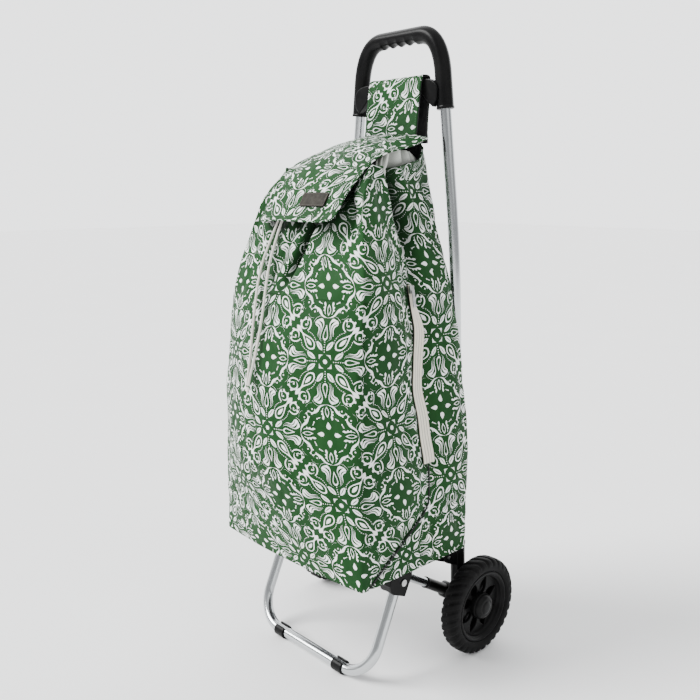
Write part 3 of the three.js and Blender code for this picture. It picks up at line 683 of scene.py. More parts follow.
# ---- drawstring
LEFT_ROUTE = [
    (-0.033, -0.06696, 0.7054), (-0.034, -0.07216, 0.7072), (-0.035, -0.07796, 0.7069),
    (-0.0365, -0.08286, 0.7048), (-0.0385, -0.08636, 0.7012), (-0.0405, -0.08836, 0.697),
    (-0.0425, -0.09076, 0.6905), (-0.046, -0.09656, 0.676), (-0.052, -0.10356, 0.655),
    (-0.059, -0.11226, 0.628), (-0.0635, -0.12116, 0.602), (-0.0583, -0.13436, 0.573),
    (-0.048, -0.14846, 0.5405), (-0.0366, -0.16236, 0.507), (-0.0295, -0.17246, 0.4735),
    (-0.0255, -0.17966, 0.4505), (-0.0248, -0.18266, 0.436),
]
RIGHT_ROUTE = [
    (-0.021, -0.06696, 0.7054), (-0.022, -0.07216, 0.7072), (-0.0235, -0.07796, 0.7069),
    (-0.0255, -0.08286, 0.7048), (-0.028, -0.08636, 0.7012), (-0.0305, -0.08836, 0.697),
    (-0.033, -0.09076, 0.6905), (-0.0375, -0.09656, 0.676), (-0.0425, -0.10396, 0.655),
    (-0.0457, -0.11276, 0.628), (-0.0457, -0.12226, 0.602), (-0.0366, -0.13636, 0.573),
    (-0.0259, -0.15066, 0.5405), (-0.0184, -0.16426, 0.507), (-0.0178, -0.17366, 0.4743),
    (-0.0193, -0.18036, 0.4504), (-0.0209, -0.18296, 0.4363),
]
KNOT = (-22.4, -289.2, 430.4)
CORD_RADIUS = 1.75


def drawstring(name, route, node):
    line = smooth_line(route, 140)
    curve = bpy.data.curves.new(name, "CURVE")
    curve.dimensions = "3D"
    curve.bevel_depth = CORD_RADIUS * 0.001
    curve.bevel_resolution = 4
    curve.use_fill_caps = True
    spline = curve.splines.new("POLY")
    spline.points.add(len(line) - 1)
    for point, place in zip(spline.points, line):
        point.co = (*place, 1)
    curve.materials.append(CORD)
    piece = bpy.data.objects.new(name, curve)
    SCENE.collection.objects.link(piece)
    stands_for(piece, "frame", "cord", node)


def overhand_knot():
    """A small pulled-tight knot where the two ends meet."""
    turn = np.linspace(0, math.tau, 120)
    line = np.stack([
        np.sin(turn) + 2 * np.sin(2 * turn),
        0.9 * np.sin(3 * turn),
        np.cos(turn) - 2 * np.cos(2 * turn),
    ], axis=1)
    return bar("string_knot", np.array(KNOT) + line, 1.5, CORD, sides=14)


def make_drawstring():
    knot = stands_for(overhand_knot(), "frame", "cord", "drawstring_knot")
    for side, route in (("left", LEFT_ROUTE), ("right", RIGHT_ROUTE)):
        drawstring(f"string_{side}", route, f"drawstring_{side}")


# ---- uprights and handle
def upright_at(z, x, splay, foot):
    """The right upright's middle at height z. It stands x out at height foot and leans forward."""
    return np.array([x - splay * (z - foot), -0.0133 * (z - 140), z])


def lower_upright(z):
    return upright_at(z, 124.8, 0.032, 140)


def upper_upright(z):
    return upright_at(z, 88, 0.106, 817)


def upright_path():
    start, corner, end = lower_upright(537), upper_upright(612), upper_upright(687)
    bend = [(1 - t) ** 2 * start + 2 * t * (1 - t) * corner + t * t * end
            for t in np.linspace(0, 1, 24)]
    return even_line([lower_upright(98), *bend, upper_upright(840)], 90)


def handle_path():
    right = [upper_upright(817), upper_upright(868)]
    y = right[1][1] - 0.6
    points = [right[1], *np.array([(79, y, 899), (66, y, 923.5), (40, y, 923.5)])]
    corner = [sum(weight * p for weight, p in zip(
        ((1 - t) ** 3, 3 * t * (1 - t) ** 2, 3 * t * t * (1 - t), t ** 3), points))
        for t in np.linspace(0, 1, 30)]
    half = np.array([right[0], *corner])
    return even_line(np.vstack([half, mirrored(half[::-1], LEFT)]), 420)


GRIP_RADIUS, GRIP_SIDES = 12.5, 40
GROOVE_PITCH, GROOVE_DEPTH = 17, 3.0


def handle_grip():
    """Rings of the grip, with a rolled lip at its ends and four finger grooves under its bar."""
    path = handle_path()
    whole = length_of(path)
    plain = rings_along(path, GRIP_RADIUS, GRIP_SIDES)[len(path) // 2]
    underside = math.tau * int(np.argmin(plain[:, 2])) / GRIP_SIDES

    def radius(share, angles):
        x, _, z = path[int(round(share * (len(path) - 1)))]
        reach = GRIP_RADIUS - 0.22 * (1 - np.cos(6 * angles))
        end = min(share, 1 - share) * whole
        if end < 4:
            reach = reach + 0.7 * min(1, (4 - end) / 1.5) - 0.6 * max(0, 1 - end / 0.7)
        if abs(x) < 2 * GROOVE_PITCH and z > 900:
            dip = abs(math.sin(math.pi * x / GROOVE_PITCH)) ** 0.8
            reach = reach - GROOVE_DEPTH * dip * np.clip(np.cos(angles - underside), 0, 1) ** 0.7
        return reach

    return rings_along(path, radius, GRIP_SIDES)


def make_handle():
    grip = grid_mesh("grip_shell", handle_grip(), [PLASTIC], wrap=True, caps=True)
    stands_for(grip, "frame", "moulded_plastic", "handle_grip")
    top = smooth_line([(83, 829), (84, 846), (77, 855.5), (62, 860), (30, 860), (0, 860)], 40)[:-1]
    low = smooth_line([(0, 846), (30, 846), (44, 845), (56, 838), (66, 828), (76, 820)], 40)[1:]
    flip = np.array([-1, 1])
    outline = np.vstack([top, top[::-1] * flip, low[::-1] * flip, low])
    bridge = plate("loop_bridge", [outline], 10, 1.6, ((1, 0, 0), (0, 0, 1), (0, -1, 0)),
                   (0, -20, 0), PLASTIC)
    stands_for(bridge, "frame", "moulded_plastic", "handle_crossbar")


def make_uprights():
    for side in (LEFT, RIGHT):
        tube = bar(side_name("rail_tube", side), mirrored(upright_path(), side), TUBE_RADIUS,
                   ALUMINIUM, sides=36)
        stands_for(tube, "frame", "aluminium", side_name("upright_tube", side))
        make_post(side)


def make_post(side):
    """The moulded foot of an upright: sleeve, rolled top, axle boss and hinge ears."""
    line = even_line([lower_upright(86), lower_upright(166)], 40)

    def sleeve(share, angles):
        lip = 0.9 if share > 0.93 else 0
        foot = 2.2 * max(0, 1 - share / 0.12) ** 2
        return 11 + lip - foot + 0.15 * np.cos(8 * angles)

    parts = [bar("sleeve", mirrored(line, side), sleeve, PLASTIC, sides=40)]
    boss = [(4.4, 113.5), (12.6, 113.5), (14, 114.9), (14, 135.1), (12.6, 136.5), (4.4, 136.5)]
    parts.append(lathe("boss", boss, PLASTIC, (0, 0, AXLE_Z), 48, side))
    ear = [(0, 165), (-22, 161.5), (-34, 158), (-38.6, 152), (-38.6, 147), (-35, 142), (-26, 137),
           (-10, 130), (0, 124), (9, 124), (9, 165)]
    outline = smooth_line(ear, 60)
    for middle in (118.75, 129.25):
        parts.append(plate("ear", [outline], 3.5, 0.8, SIDE_ON, (side * middle, 0, 0), PLASTIC))
    post = joined(side_name("post_moulding", side), parts)
    stands_for(post, "frame", "moulded_plastic", side_name("axle_post", side))


# ---- wheels
LUGS, OPENINGS = 32, 8
LUG_SLANT = 0.256       # how far a lug's phase shifts per mm across the tread


def tyre(side):
    """The foam tyre, with wavy lugs over its tread and shoulders."""
    half = smooth_line([(55.4, 12), (58, 14), (63, 14.9), (69, 14.2), (73.2, 11), (74.8, 6.5),
                        (75, 0)], 26)
    profile = np.vstack([half, (half[::-1] * (1, -1))[1:]])
    angles = turns(384)
    rows = []
    for radius, along in profile:
        wave = np.sin(LUGS * angles + LUG_SLANT * along)
        groove = np.clip((wave - 0.1) * 2.2, 0, 1)
        share = min(1, max(0, (radius - 62) / 7))
        sunk = 1.7 * groove * share
        rim_line = 0.8 * math.exp(-((radius - 61) / 1.2) ** 2)
        reach = radius - sunk * (0.4 + 0.6 * (radius > 70)) - 0.3 * rim_line
        across = along - math.copysign(1, along) * sunk * 0.6 * (1 - abs(radius - 68) / 20)
        rows.append(np.stack([
            side * (WHEEL_X + across), reach * np.cos(angles),
            AXLE_Z + side * reach * np.sin(angles),
        ], axis=1))
    return grid_mesh(side_name("tread_tyre", side), rows, [FOAM], wrap=True)


def leaf_opening(angle):
    """One opening of the rim's web, pointed outwards."""
    right = [(18.5, 1), (20, 5), (26, 8.2), (33, 7.4), (39, 4), (44.4, 0)]
    leaf = smooth_line([*right, *[(r, -y * 0.75) for r, y in right[-2::-1]]], 36)
    c, s = math.cos(angle), math.sin(angle)
    return [(c * x - s * y, s * x + c * y) for x, y in leaf]


def circle(radius, sides=96):
    return [(radius * math.cos(a), radius * math.sin(a)) for a in turns(sides)]


def rim(side):
    axes = ((0, 1, 0), (0, 0, side), (side, 0, 0))
    openings = [leaf_opening(turn + 0.39) for turn in turns(OPENINGS)]
    parts = [plate("web", [circle(48), *openings], 5, 0.9, axes,
                   (side * (WHEEL_X - 0.8), 0, AXLE_Z), PLASTIC)]
    channel = [(46.4, -3), (46.6, -12), (55, -12), (55, 11.4), (54.4, 12.4), (52.6, 13), (51, 12.6),
               (50.2, 10), (49.6, 9.4), (48.6, 9.2), (47.8, 8), (46.8, 1.5), (45, 1)]
    ridge = [(17.2, 1), (17.4, 3.4), (18.2, 4), (19, 3.4), (19.2, 1)]
    hub = [(4.4, -15.5), (12.4, -15.5), (13, -14.8), (13.6, -3), (13.6, 2.6), (13, 9.6), (12.4, 10),
           (4.4, 10)]
    for name, profile, sides in (("channel", channel, 128), ("ridge", ridge, 96), ("hub", hub, 64)):
        parts.append(lathe(name, profile, PLASTIC, (side * WHEEL_X, 0, AXLE_Z), sides, side))
    return joined(side_name("spoked_rim", side), parts)


def hub_cap(side):
    profile = [(20.4, 2.4), (20.5, 8.4), (20.1, 9.6), (19.6, 10), (19.3, 10.6), (19.3, 12),
               (18.2, 14.2), (15.4, 16.6), (12, 17.8), (11, 17.6), (10.4, 17.7), (9.8, 18.3),
               (6, 19), (2.5, 19.25), (0.01, 19.3)]
    return lathe(side_name("dome_cap", side), profile, PLASTIC, (side * WHEEL_X, 0, AXLE_Z), 96, side)


def wheel_web(side):
    """The wheel's blind web, which closes the leaf openings from behind."""
    return plate(side_name("wheel_web", side), [circle(46.8), circle(13.5)[::-1]], 1.2, 0.2,
                 SIDE_ON, (side * 159.5, 0, AXLE_Z), PLASTIC)


def make_wheels():
    for side in (LEFT, RIGHT):
        body = side_name("wheel", side)
        for piece, slot, stem in ((tyre, "foam_rubber", "tyre"), (rim, "moulded_plastic", "rim"),
                                  (hub_cap, "moulded_plastic", "hub_cap")):
            stands_for(piece(side), body, slot, side_name(stem, side))
        stands_for(wheel_web(side), body, "moulded_plastic")


# ---- stand and braces
STAND_PIVOT = np.array([0, -138, 147.5])
STAND_FLOOR = np.array([0, -198, 11])


def stand_path():
    drop = np.linalg.norm(STAND_FLOOR - STAND_PIVOT)
    down = (STAND_FLOOR - STAND_PIVOT) / drop

    def at(x, distance):
        return np.array([x, 0, 0]) + STAND_PIVOT + down * distance

    turn = np.linspace(0, math.pi / 2, 24)
    corner = [at(76 + 50 * math.cos(a), drop - 50 + 50 * math.sin(a)) for a in turn]
    half = [at(126, -9), *corner, at(0, drop)]
    return even_line([*half, *mirrored(half[::-1], LEFT)[1:]], 180)


def foot_clip(side):
    """A snap-on clip round the stand's bar: an open ring with lips and a flat sole."""
    y, z = STAND_FLOOR[1:]
    turn = np.radians(np.linspace(68, 68 - 310, 40))
    outer = [(y + 10.6 * math.cos(a), z + 10.6 * math.sin(a)) for a in turn]
    flat = [(a, max(b, 0.4)) for a, b in outer]
    inner = [(y + 8.3 * math.cos(a), z + 8.3 * math.sin(a)) for a in turn[::-1]]
    return plate(side_name("clip_shoe", side), [[*flat, *inner]], 20, 0.5, SIDE_ON,
                 (side * 67.6, 0, 0), PLASTIC)


def make_stand():
    tube = bar("stand_hoop", stand_path(), TUBE_RADIUS, ALUMINIUM, sides=36)
    stands_for(tube, "stand", "aluminium", "stand_tube")
    for side in (LEFT, RIGHT):
        stands_for(foot_clip(side), "stand", "moulded_plastic", side_name("foot_clip", side))


def make_braces():
    way = unit(np.array([0, -130, 78.0]))
    for side in (LEFT, RIGHT):
        start = np.array([side * 104, 0, AXLE_Z])
        line = [start + way * d for d in np.linspace(2, 62, 50)]

        def taper(share, angles):
            lip = 0.5 if 0.94 < share <= 0.985 else 0
            return np.full(len(angles), 9 - 0.6 * share + lip)

        eye = [(4.4, -8.5), (12, -8.5), (13, -7.5), (13, 7.5), (12, 8.5), (4.4, 8.5)]
        parts = [bar("taper", line, taper, PLASTIC, sides=36),
                 lathe("eye", eye, PLASTIC, start, 48, side)]
        sleeve = joined(side_name("sleeve_moulding", side), parts)
        stands_for(sleeve, "brace_sleeves", "moulded_plastic", side_name("brace_sleeve", side))
        rod = [start + way * d for d in np.linspace(26, 140, 12)]
        tube = bar(side_name("strut_tube", side), rod, 7.2, ALUMINIUM, sides=32)
        stands_for(tube, "brace_tubes", "aluminium", side_name("brace_tube", side))


# ---- bag shell
FRONT_EDGE = [
    (156, -238, 175), (155, -239, 250), (153, -239, 320), (151, -237, 385), (149, -234, 450),
    (147, -230, 500), (141, -222.5, 560), (133, -215, 600), (124, -206.5, 640), (113, -196, 680),
    (107, -189.5, 700), (88, -154, 734),
]
VALLEY_EDGE = [
    (156, -126, 175), (155, -116, 250), (152, -108, 325), (142.6, -108.5, 385),
    (132.4, -109, 450), (124.6, -109.4, 500), (115.2, -110, 560), (106, -110, 600),
    (92.5, -110, 640), (82, -110, 682), (77, -109, 714), (75, -109, 741),
]
REAR_EDGE = [
    (156, -17, 175), (156, -17, 250), (155, -17, 320), (149, -17, 385), (141, -17, 450),
    (132, -17, 500), (118, -17, 560), (106, -17, 600), (91, -17, 640), (77, -17, 690),
    (67, -17, 725), (60, -17, 752), (50, -17, 786),
]
FRONT_BULGE = [8, 30, 48, 50, 46, 38, 22, 10, 5, 2, 0, 0]
BAG_FLOOR = 172.5
# The cloth below this height and the mouth above it are made as two pieces.
SPLIT_Z = 560
LOW_ROWS, MOUTH_ROWS = 120, 74
# Columns of the panels of one half of the shell: the front from its middle, the side's front and
# rear, and the rear to its middle.
PANEL_STEPS = (42, 44, 30, 12)
PANEL_ENDS = np.cumsum([0, *PANEL_STEPS])


def edge_at(edge, z):
    """The x and y of an edge at heights z, evened a little so that its bends are soft."""
    line = np.array(edge, float)
    return np.mean([sample(line[:, :2], line[:, 2], z + d) for d in (-16, -8, 0, 8, 16)], axis=0)


def bump(value, centre, width):
    return np.exp(-((value - centre) / width) ** 2)


def ramp(value, low, high):
    t = np.clip((value - low) / (high - low), 0, 1)
    return t * t * (3 - 2 * t)


def soft_noise(points, size, seed, stretch=(1, 1, 1)):
    scale = np.array(stretch) / size
    shift = Vector((seed * 17.3, seed * 9.1, seed * 5.7))
    flat = points.reshape(-1, 3) * scale
    values = [noise.noise(Vector(p) + shift) for p in flat]
    return np.array(values).reshape(points.shape[:-1])


def half_shell(side):
    """Points of one half of the shell, with each column's panel and share along it."""
    shares, panels = [], []
    for number, steps in enumerate(PANEL_STEPS):
        shares += list(np.arange(steps) / steps)
        panels += [number] * steps
    shares, panels = np.array([*shares, 1.0]), np.array([*panels, 3])
    crown = np.select(
        [panels == 0, panels == 1, panels == 2],
        [700 + 34 * ramp(shares, 0.82, 1), 734 - 3 * shares,
         731 + 19 * shares + 14 * ramp(shares, 0.7, 1)],
        764 + 22 * ramp(shares, 0, 0.35))
    low, high = (np.linspace(0, 1, rows)[:, None] for rows in (LOW_ROWS, MOUTH_ROWS))
    level = np.full(len(shares), SPLIT_Z)
    z = np.concatenate([BAG_FLOOR + low * (level - BAG_FLOOR), level + high[1:] * (crown - level)])
    front, valley, rear = (edge_at(e, z) for e in (FRONT_EDGE, VALLEY_EDGE, REAR_EDGE))
    middle = front * (0, 1)
    s = shares[None, :, None]
    plan = np.select(
        [np.broadcast_to((panels == i)[None, :, None], front.shape) for i in range(3)],
        [middle + (front - middle) * s, front + (valley - front) * s, valley + (rear - valley) * s],
        rear + (rear * (0, 1) - rear) * s)
    swell = np.interp(z, [p[2] for p in FRONT_EDGE], FRONT_BULGE)
    plan[..., 1] -= np.where(panels == 0, swell * (1 - shares ** 2), 0)
    return np.concatenate([plan * (side, 1), z[..., None]], axis=-1), panels, shares


def round_corners(points, corners):
    """Softens the vertical edges at the given columns."""
    pull = np.zeros(points.shape[1])
    for column in corners:
        for step, amount in ((0, 1), (1, 0.8), (2, 0.35)):
            pull[column + step] = pull[column - step] = max(pull[column - step], amount)
    for _ in range(3):
        near = (np.roll(points, 1, axis=1) + np.roll(points, -1, axis=1)) / 2
        points = points + pull[None, :, None] * 0.6 * (near - points) * (1, 1, 0)
    return points


def zip_line(z):
    """Where the zip's middle lies, as its y at height z: an S along the side's crease."""
    return -109 + 9 * bump(z, 512, 30) - 6.5 * bump(z, 430, 28) + 4 * (1 - ramp(z, 325, 370))


def beside_zip(z):
    return (z > 318) & (z < 590)


def crease(y, z, start, end, width):
    """A straight crease between two (y, z) points: 1 on it, and the distance along it."""
    start, end = np.array(start, float), np.array(end, float)
    way = unit(end - start)
    off = (y - start[0]) * way[1] - (z - start[1]) * way[0]
    along = (y - start[0]) * way[0] + (z - start[1]) * way[1]
    return bump(off, 0, width), along


def front_folds(x, z):
    """Gathers under the flap, a long fold left of the middle, and a slack one on the right."""
    gathers = ramp(z, 560, 700) ** 2 * (4.6 * np.sin(x / 8.2 + 0.9 * np.sin(z / 37)) - 3.6)
    upper = 20 - 0.28 * (660 - z)
    deep = -20 * bump(x, upper, 7) * ramp(z, 540, 610) * (1 - ramp(z, 684, 700))
    beside = -5 * bump(x, upper - 34, 9) * ramp(z, 500, 600)
    right = -5 * bump(x, 70 + 0.12 * (700 - z), 9) * ramp(z, 570, 650)
    waist = -5 * bump(z, 300 + 0.35 * (x - 40), 16) * bump(x, -90, 50)
    return gathers + deep + beside + right + waist


# The deep fold under the mouth's corner, as heights and the y it passes at each.
FOLD_LINE = (
    [560, 573, 604, 634, 662, 682, 700, 716, 732],
    [-108, -103, -93, -92, -97, -102, -107, -114, -120],
)


def side_folds(y, z, shares, panels):
    """The side's pillowy halves, its deep upper fold and the paper-bag creases at its foot."""
    front_half = panels == 1
    zip_gap = np.abs(y - zip_line(z))
    clear = np.where(beside_zip(z), ramp(zip_gap, 9, 24), ramp(zip_gap, 0, 14))
    pillow = np.sin(math.pi * np.clip(shares, 0, 1))
    fullness = pillow * clear * (7 * ramp(z, 175, 300) * (1 - ramp(z, 600, 741)) + 2)
    fold_line = np.interp(z, *FOLD_LINE)
    deep = ramp(z, 560, 690)
    fold = -(6 + 24 * deep) * bump(y, fold_line, 6 + 6 * deep) * ramp(z, 556, 600)
    lip = 5 * bump(y, fold_line - 22, 10) * deep + 5 * bump(y, fold_line + 24, 10) * deep
    low = -3 * crease(y, z, (-108, 325), (-18, 176), 5)[0] * (1 - ramp(z, 300, 325)) * ~front_half
    across = -3.5 * crease(y, z, (-236, 470), (-110, 330), 9)[0] * front_half * clear
    seam = -3.5 * bump(shares, 0.06, 0.03) * ramp(z, 260, 340) * (1 - ramp(z, 560, 620)) * front_half
    return fullness + fold + lip + low + across + seam


def foot_crease(y, z):
    """The sharp tuck from the zip's foot down to the front corner of the bottom."""
    depth = 0
    for start, end, reach in (((-106, 306), (-109, 262), 44), ((-109, 262), (-222, 173), 144)):
        line, along = crease(y, z, start, end, 2.6)
        depth = np.maximum(depth, line * ramp(along, -4, 4) * (1 - ramp(along, reach - 4, reach + 4)))
    return -7 * depth


def bag_folds(points, panels, shares):
    """How far each point of a half of the shell stands out from its smooth shape, in mm."""
    x, y, z = points[..., 0], points[..., 1], points[..., 2]
    slack = 3.4 * soft_noise(points, 80, 1, (1, 1, 0.7)) + 1.6 * soft_noise(points, 34, 2)
    wrinkles = -1.6 * np.maximum(0, 0.16 - np.abs(soft_noise(points, 52, 3, (1, 1, 0.6)))) / 0.16
    out = slack + wrinkles
    on_side = (panels == 1) | (panels == 2)
    near_zip = on_side & (np.abs(y - zip_line(z)) < 11) & beside_zip(z)
    out = np.where(near_zip, 0.15 * out - 0.6, out)
    out = np.where(panels == 0, out + front_folds(x, z) - 1, out)
    out = np.where(on_side, out + side_folds(y, z, shares, panels), out)
    cords = bump(x, -38, 30) * ramp(z, 400, 440)
    limit = np.where(panels == 0, 1.6 - 0.9 * cords, np.where(panels == 3, 0.3, 9.0))
    out = np.minimum(out * (0.25 + 0.75 * ramp(z, 175, 240)), limit)
    return out + np.where(panels == 1, foot_crease(y, z), 0)


def outward(points, side):
    """Unit vectors pointing out of the shell, seen from above."""
    way = np.gradient(points, axis=1)
    facing = np.stack([way[..., 1], -way[..., 0], np.zeros(way.shape[:2])], axis=-1) * side
    return facing / np.maximum(np.linalg.norm(facing, axis=-1), 1e-9)[..., None]


def half_uv(points, side):
    """Fabric coordinates of the half's cells. One cloth runs round the front and the sides,
    hung a little askew; the rear is cut apart."""
    step = np.linalg.norm(np.diff(points[..., :2], axis=1), axis=-1)
    round_it = side * np.concatenate([np.zeros((len(points), 1)), np.cumsum(step, axis=1)], axis=1)
    z = points[..., 2]
    u, v = round_it + 0.16 * z - 178.6, 1.04 * z - 0.043 * round_it - 498
    past_zip = round_it + 0.086 * z - 159.2
    rear = round_it[:, -1:] - round_it - 40
    blocks = []
    for number, (across, along) in enumerate(((u, v), (u, v), (past_zip, z - 501), (rear, z - 480))):
        cut = slice(PANEL_ENDS[number], PANEL_ENDS[number + 1] + 1)
        blocks.append(corner_uv(across[:, cut], along[:, cut]))
    return np.concatenate(blocks, axis=1)


def shell_half(side):
    points, panels, shares = half_shell(side)
    points = round_corners(points, PANEL_ENDS[[1, 3]])
    points = points + outward(points, side) * bag_folds(points, panels, shares)[..., None]
    return points, half_uv(points, side)


def crumple(piece):
    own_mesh(piece)


def make_bag():
    right, right_uv = shell_half(RIGHT)
    left, left_uv = shell_half(LEFT)
    grid = np.concatenate([right, left[:, -2:0:-1]], axis=1)
    left_uv = left_uv[:, ::-1][:, :, [1, 0, 3, 2]]
    uv = np.concatenate([right_uv, left_uv], axis=1)
    split = LOW_ROWS - 1
    shell = grid_mesh("bag_shell", grid[:LOW_ROWS], [CLOTH, DARK], uv=uv[:split], wrap=True)
    mouth = grid_mesh("bag_mouth", grid[split:], [CLOTH, DARK], uv=uv[split:], wrap=True)
    for piece in (shell, mouth):
        thicken(piece, 1.0, inner=1)
    stands_for(shell, "frame", "printed_fabric", "bag_front_panel", "bag_rear_panel",
               "bag_gusset_left", "bag_gusset_right")
    stands_for(mouth, "frame", "printed_fabric")
    crumple(shell)
    make_crease_shadow_bar(right)
    make_bag_bottom(grid[0])
    make_mouth_hems(grid)


def make_crease_shadow_bar(surface):
    """A thin dark bar laid along the crease of the sharp tuck below the zip: a painted shadow that
    stands in for the crease's shade.
    """
    path = smooth_line([(0, -106, 322), (0, -106, 290), (0, -110, 264), (0, -136, 241),
                        (0, -163, 219), (0, -224, 175)], 90)
    spots = surface.reshape(-1, 3)
    spots = spots[spots[:, 0] > 120]
    near = [np.argsort(np.hypot(*(spots[:, 1:] - p[1:]).T))[:24] for p in path]
    path[:, 0] = [spots[found, 0].max() for found in near]
    path[:, 0] = np.convolve(np.pad(path[:, 0], 4, mode="edge"), np.ones(9) / 9, mode="valid")
    # Painted shadow: a dark lining-coloured bar where the crease has only shade.
    shadow_bar = bar("crease_shadow_bar", path, 0.9, DARK, sides=10)
    stands_for(shadow_bar, "frame", "printed_fabric")
    crumple(shadow_bar)


def make_bag_bottom(rim_line):
    """The bottom panel, stretched over the board and puckered along its seam."""
    centre = np.array([0, -127.5, BAG_FLOOR])
    shares = np.concatenate([np.linspace(0.02, 0.9, 12), [0.94, 0.97, 0.99]])
    rows = []
    for share in shares:
        row = centre + (rim_line - centre) * share
        pucker = 0.5 * np.sin(np.arange(len(row)) * 1.3) * ramp(share, 0.8, 1)
        row[:, 2] = BAG_FLOOR + 0.9 + pucker - 0.5 * (1 - share)
        rows.append(row)
    grid = np.array(rows[::-1])
    closed = np.concatenate([grid, grid[:, :1]], axis=1)
    panel = grid_mesh("bottom_panel", grid, [CLOTH, DARK], wrap=True,
                      uv=corner_uv(closed[..., 0], closed[..., 1]))
    thicken(panel, 0.8, inner=1)
    stands_for(panel, "bag_base", "printed_fabric", "bag_bottom")


def make_mouth_hems(grid):
    """The folded hem along the top of both sides."""
    top = grid[-1]
    columns = np.arange(PANEL_ENDS[1] - 4, PANEL_ENDS[3] + 3)
    for side in (LEFT, RIGHT):
        line = smooth_line(top[side * columns % len(top)], 110)
        hem = bar(side_name("mouth_hem", side), line, 1.7, CLOTH, sides=14)
        stands_for(hem, "frame", "printed_fabric")


# ---- stitches
def stitches(name, line, normals, finish, body, slot, pitch=3.6, length=2.5, width=0.38):
    """A row of thread stitches lying along a line, each a small rounded bar with six sides."""
    line = np.asarray(line, float)
    along = walked(line)
    points, faces = [], []
    for start in np.arange(pitch * 0.5, along[-1] - length, pitch):
        a, b = sample(line, along, np.array([start, start + length]))
        up = sample(normals, along, start)
        across = unit(np.cross(unit(b - a), up))
        base = len(points)
        for share, size in ((0, 0.3), (0.2, 1), (0.8, 1), (1, 0.3)):
            for turn in turns(6):
                offset = across * math.cos(turn) + up * math.sin(turn) * 0.7
                points.append(a + (b - a) * share + offset * width * size)
        for first in (base, base + 6, base + 12):
            for k in range(6):
                n = (k + 1) % 6
                faces.append((first + k, first + n, first + 6 + n, first + 6 + k))
    return stands_for(add_mesh(name, points, faces, finish), body, slot)


# ---- flap, label and loop
FLAP_LINE = [
    (0, -222, 662), (0, -211, 680), (0, -199, 700), (0, -183, 719.5), (0, -165, 736.5),
    (0, -143, 752), (0, -117, 764), (0, -85, 773.5), (0, -44, 785.5),
]
FLAP_CURVE = smooth_line(FLAP_LINE, 200)
FLAP_LENGTH = length_of(FLAP_CURVE)
FLAP_HALF = 85          # half its width
FLAP_HEM = 7            # from its edge to its stitches


def line_normals(line):
    """Upward normals of a line drawn in the YZ plane."""
    way = np.gradient(line, axis=0)
    return unit(np.stack([np.zeros(len(line)), -way[:, 2], way[:, 1]], axis=1))


def flap_points(shares, t):
    """Points of the flap: shares run from hem to rear, t from its left to its right side."""
    steps = np.arange(len(FLAP_CURVE))
    at = np.clip(shares, 0, 1) * steps[-1]
    points, up = (sample(line, steps, at) for line in (FLAP_CURVE, line_normals(FLAP_CURVE)))
    points[..., 0] += FLAP_HALF * t * (1 - 0.03 * np.sin(math.pi * shares) ** 2)
    droop = -(3.5 + 7 * shares) * np.abs(t) ** 3
    lifted = 7 * ramp(t, 0.55, 1) * (1 - ramp(shares, 0.12, 0.5))
    wave = 1.8 * np.sin(shares * 11 + 2.2 * t) * np.abs(t) ** 3
    ripple = 1.1 * soft_noise(points, 42, 7) - 0.8
    pleat = -2.5 * bump(t, 0.12 + 0.2 * shares, 0.05) * ramp(shares, 0.45, 0.9)
    hem = 0.5 * (1 - ramp(hem_distance(shares, t), 6.5, 8))
    return points + up * (droop + lifted + wave + ripple + pleat + hem - 0.5)[..., None], up


def hem_distance(shares, t):
    return np.minimum(shares * FLAP_LENGTH, (1 - np.abs(t)) * FLAP_HALF)


def hem_start(t):
    """Where the rounded corner begins, as a share of the flap's length."""
    corner = np.clip((np.abs(t) - 0.89) / 0.11, 0, 0.999)
    return 9 * (1 - np.sqrt(1 - corner ** 2)) / FLAP_LENGTH


def make_flap():
    t = np.sin(np.linspace(-math.pi / 2, math.pi / 2, 96)) * 0.35 + np.linspace(-1, 1, 96) * 0.65
    s = np.linspace(0, 1, 90)[:, None] ** 1.05
    start = hem_start(t)[None, :]
    shares = start + (1 - start) * s
    points, _ = flap_points(shares, np.broadcast_to(t, shares.shape))
    uv = corner_uv(points[..., 0] + 22, shares * FLAP_LENGTH + 8)
    flap = grid_mesh("flap_sheet", points, [CLOTH, DARK], uv=uv)
    thicken(flap, 1.4, inner=1)
    stands_for(flap, "flap", "printed_fabric", "flap")
    edge_t = np.concatenate([np.full(60, -1.0), np.linspace(-1, 1, 120), np.full(60, 1.0)])
    down = np.linspace(0.97, 0, 60)
    edge_s = np.concatenate([down, np.zeros(120), down[::-1]])
    edge_s = np.maximum(edge_s, hem_start(edge_t))
    rim_line, rim_up = flap_points(edge_s, edge_t)
    piping = bar("flap_piping", even_line(rim_line - rim_up * 0.6, 260), 1.1, CLOTH, sides=10)
    stands_for(piping, "flap", "printed_fabric")
    inset_t = edge_t * (1 - FLAP_HEM / FLAP_HALF)
    inset_s = edge_s + FLAP_HEM / FLAP_LENGTH * (1 - ramp(edge_s, 0.1, 0.3))
    seam, seam_up = flap_points(inset_s, inset_t)
    row = stitches("flap_stitches", seam + seam_up * 0.25, seam_up, GREEN_THREAD, "flap",
                   "printed_fabric")


LABEL_X = 25.5
LABEL_HALF = (25.5, 10.5)       # half its width and half its height
LABEL_CORNER = 2


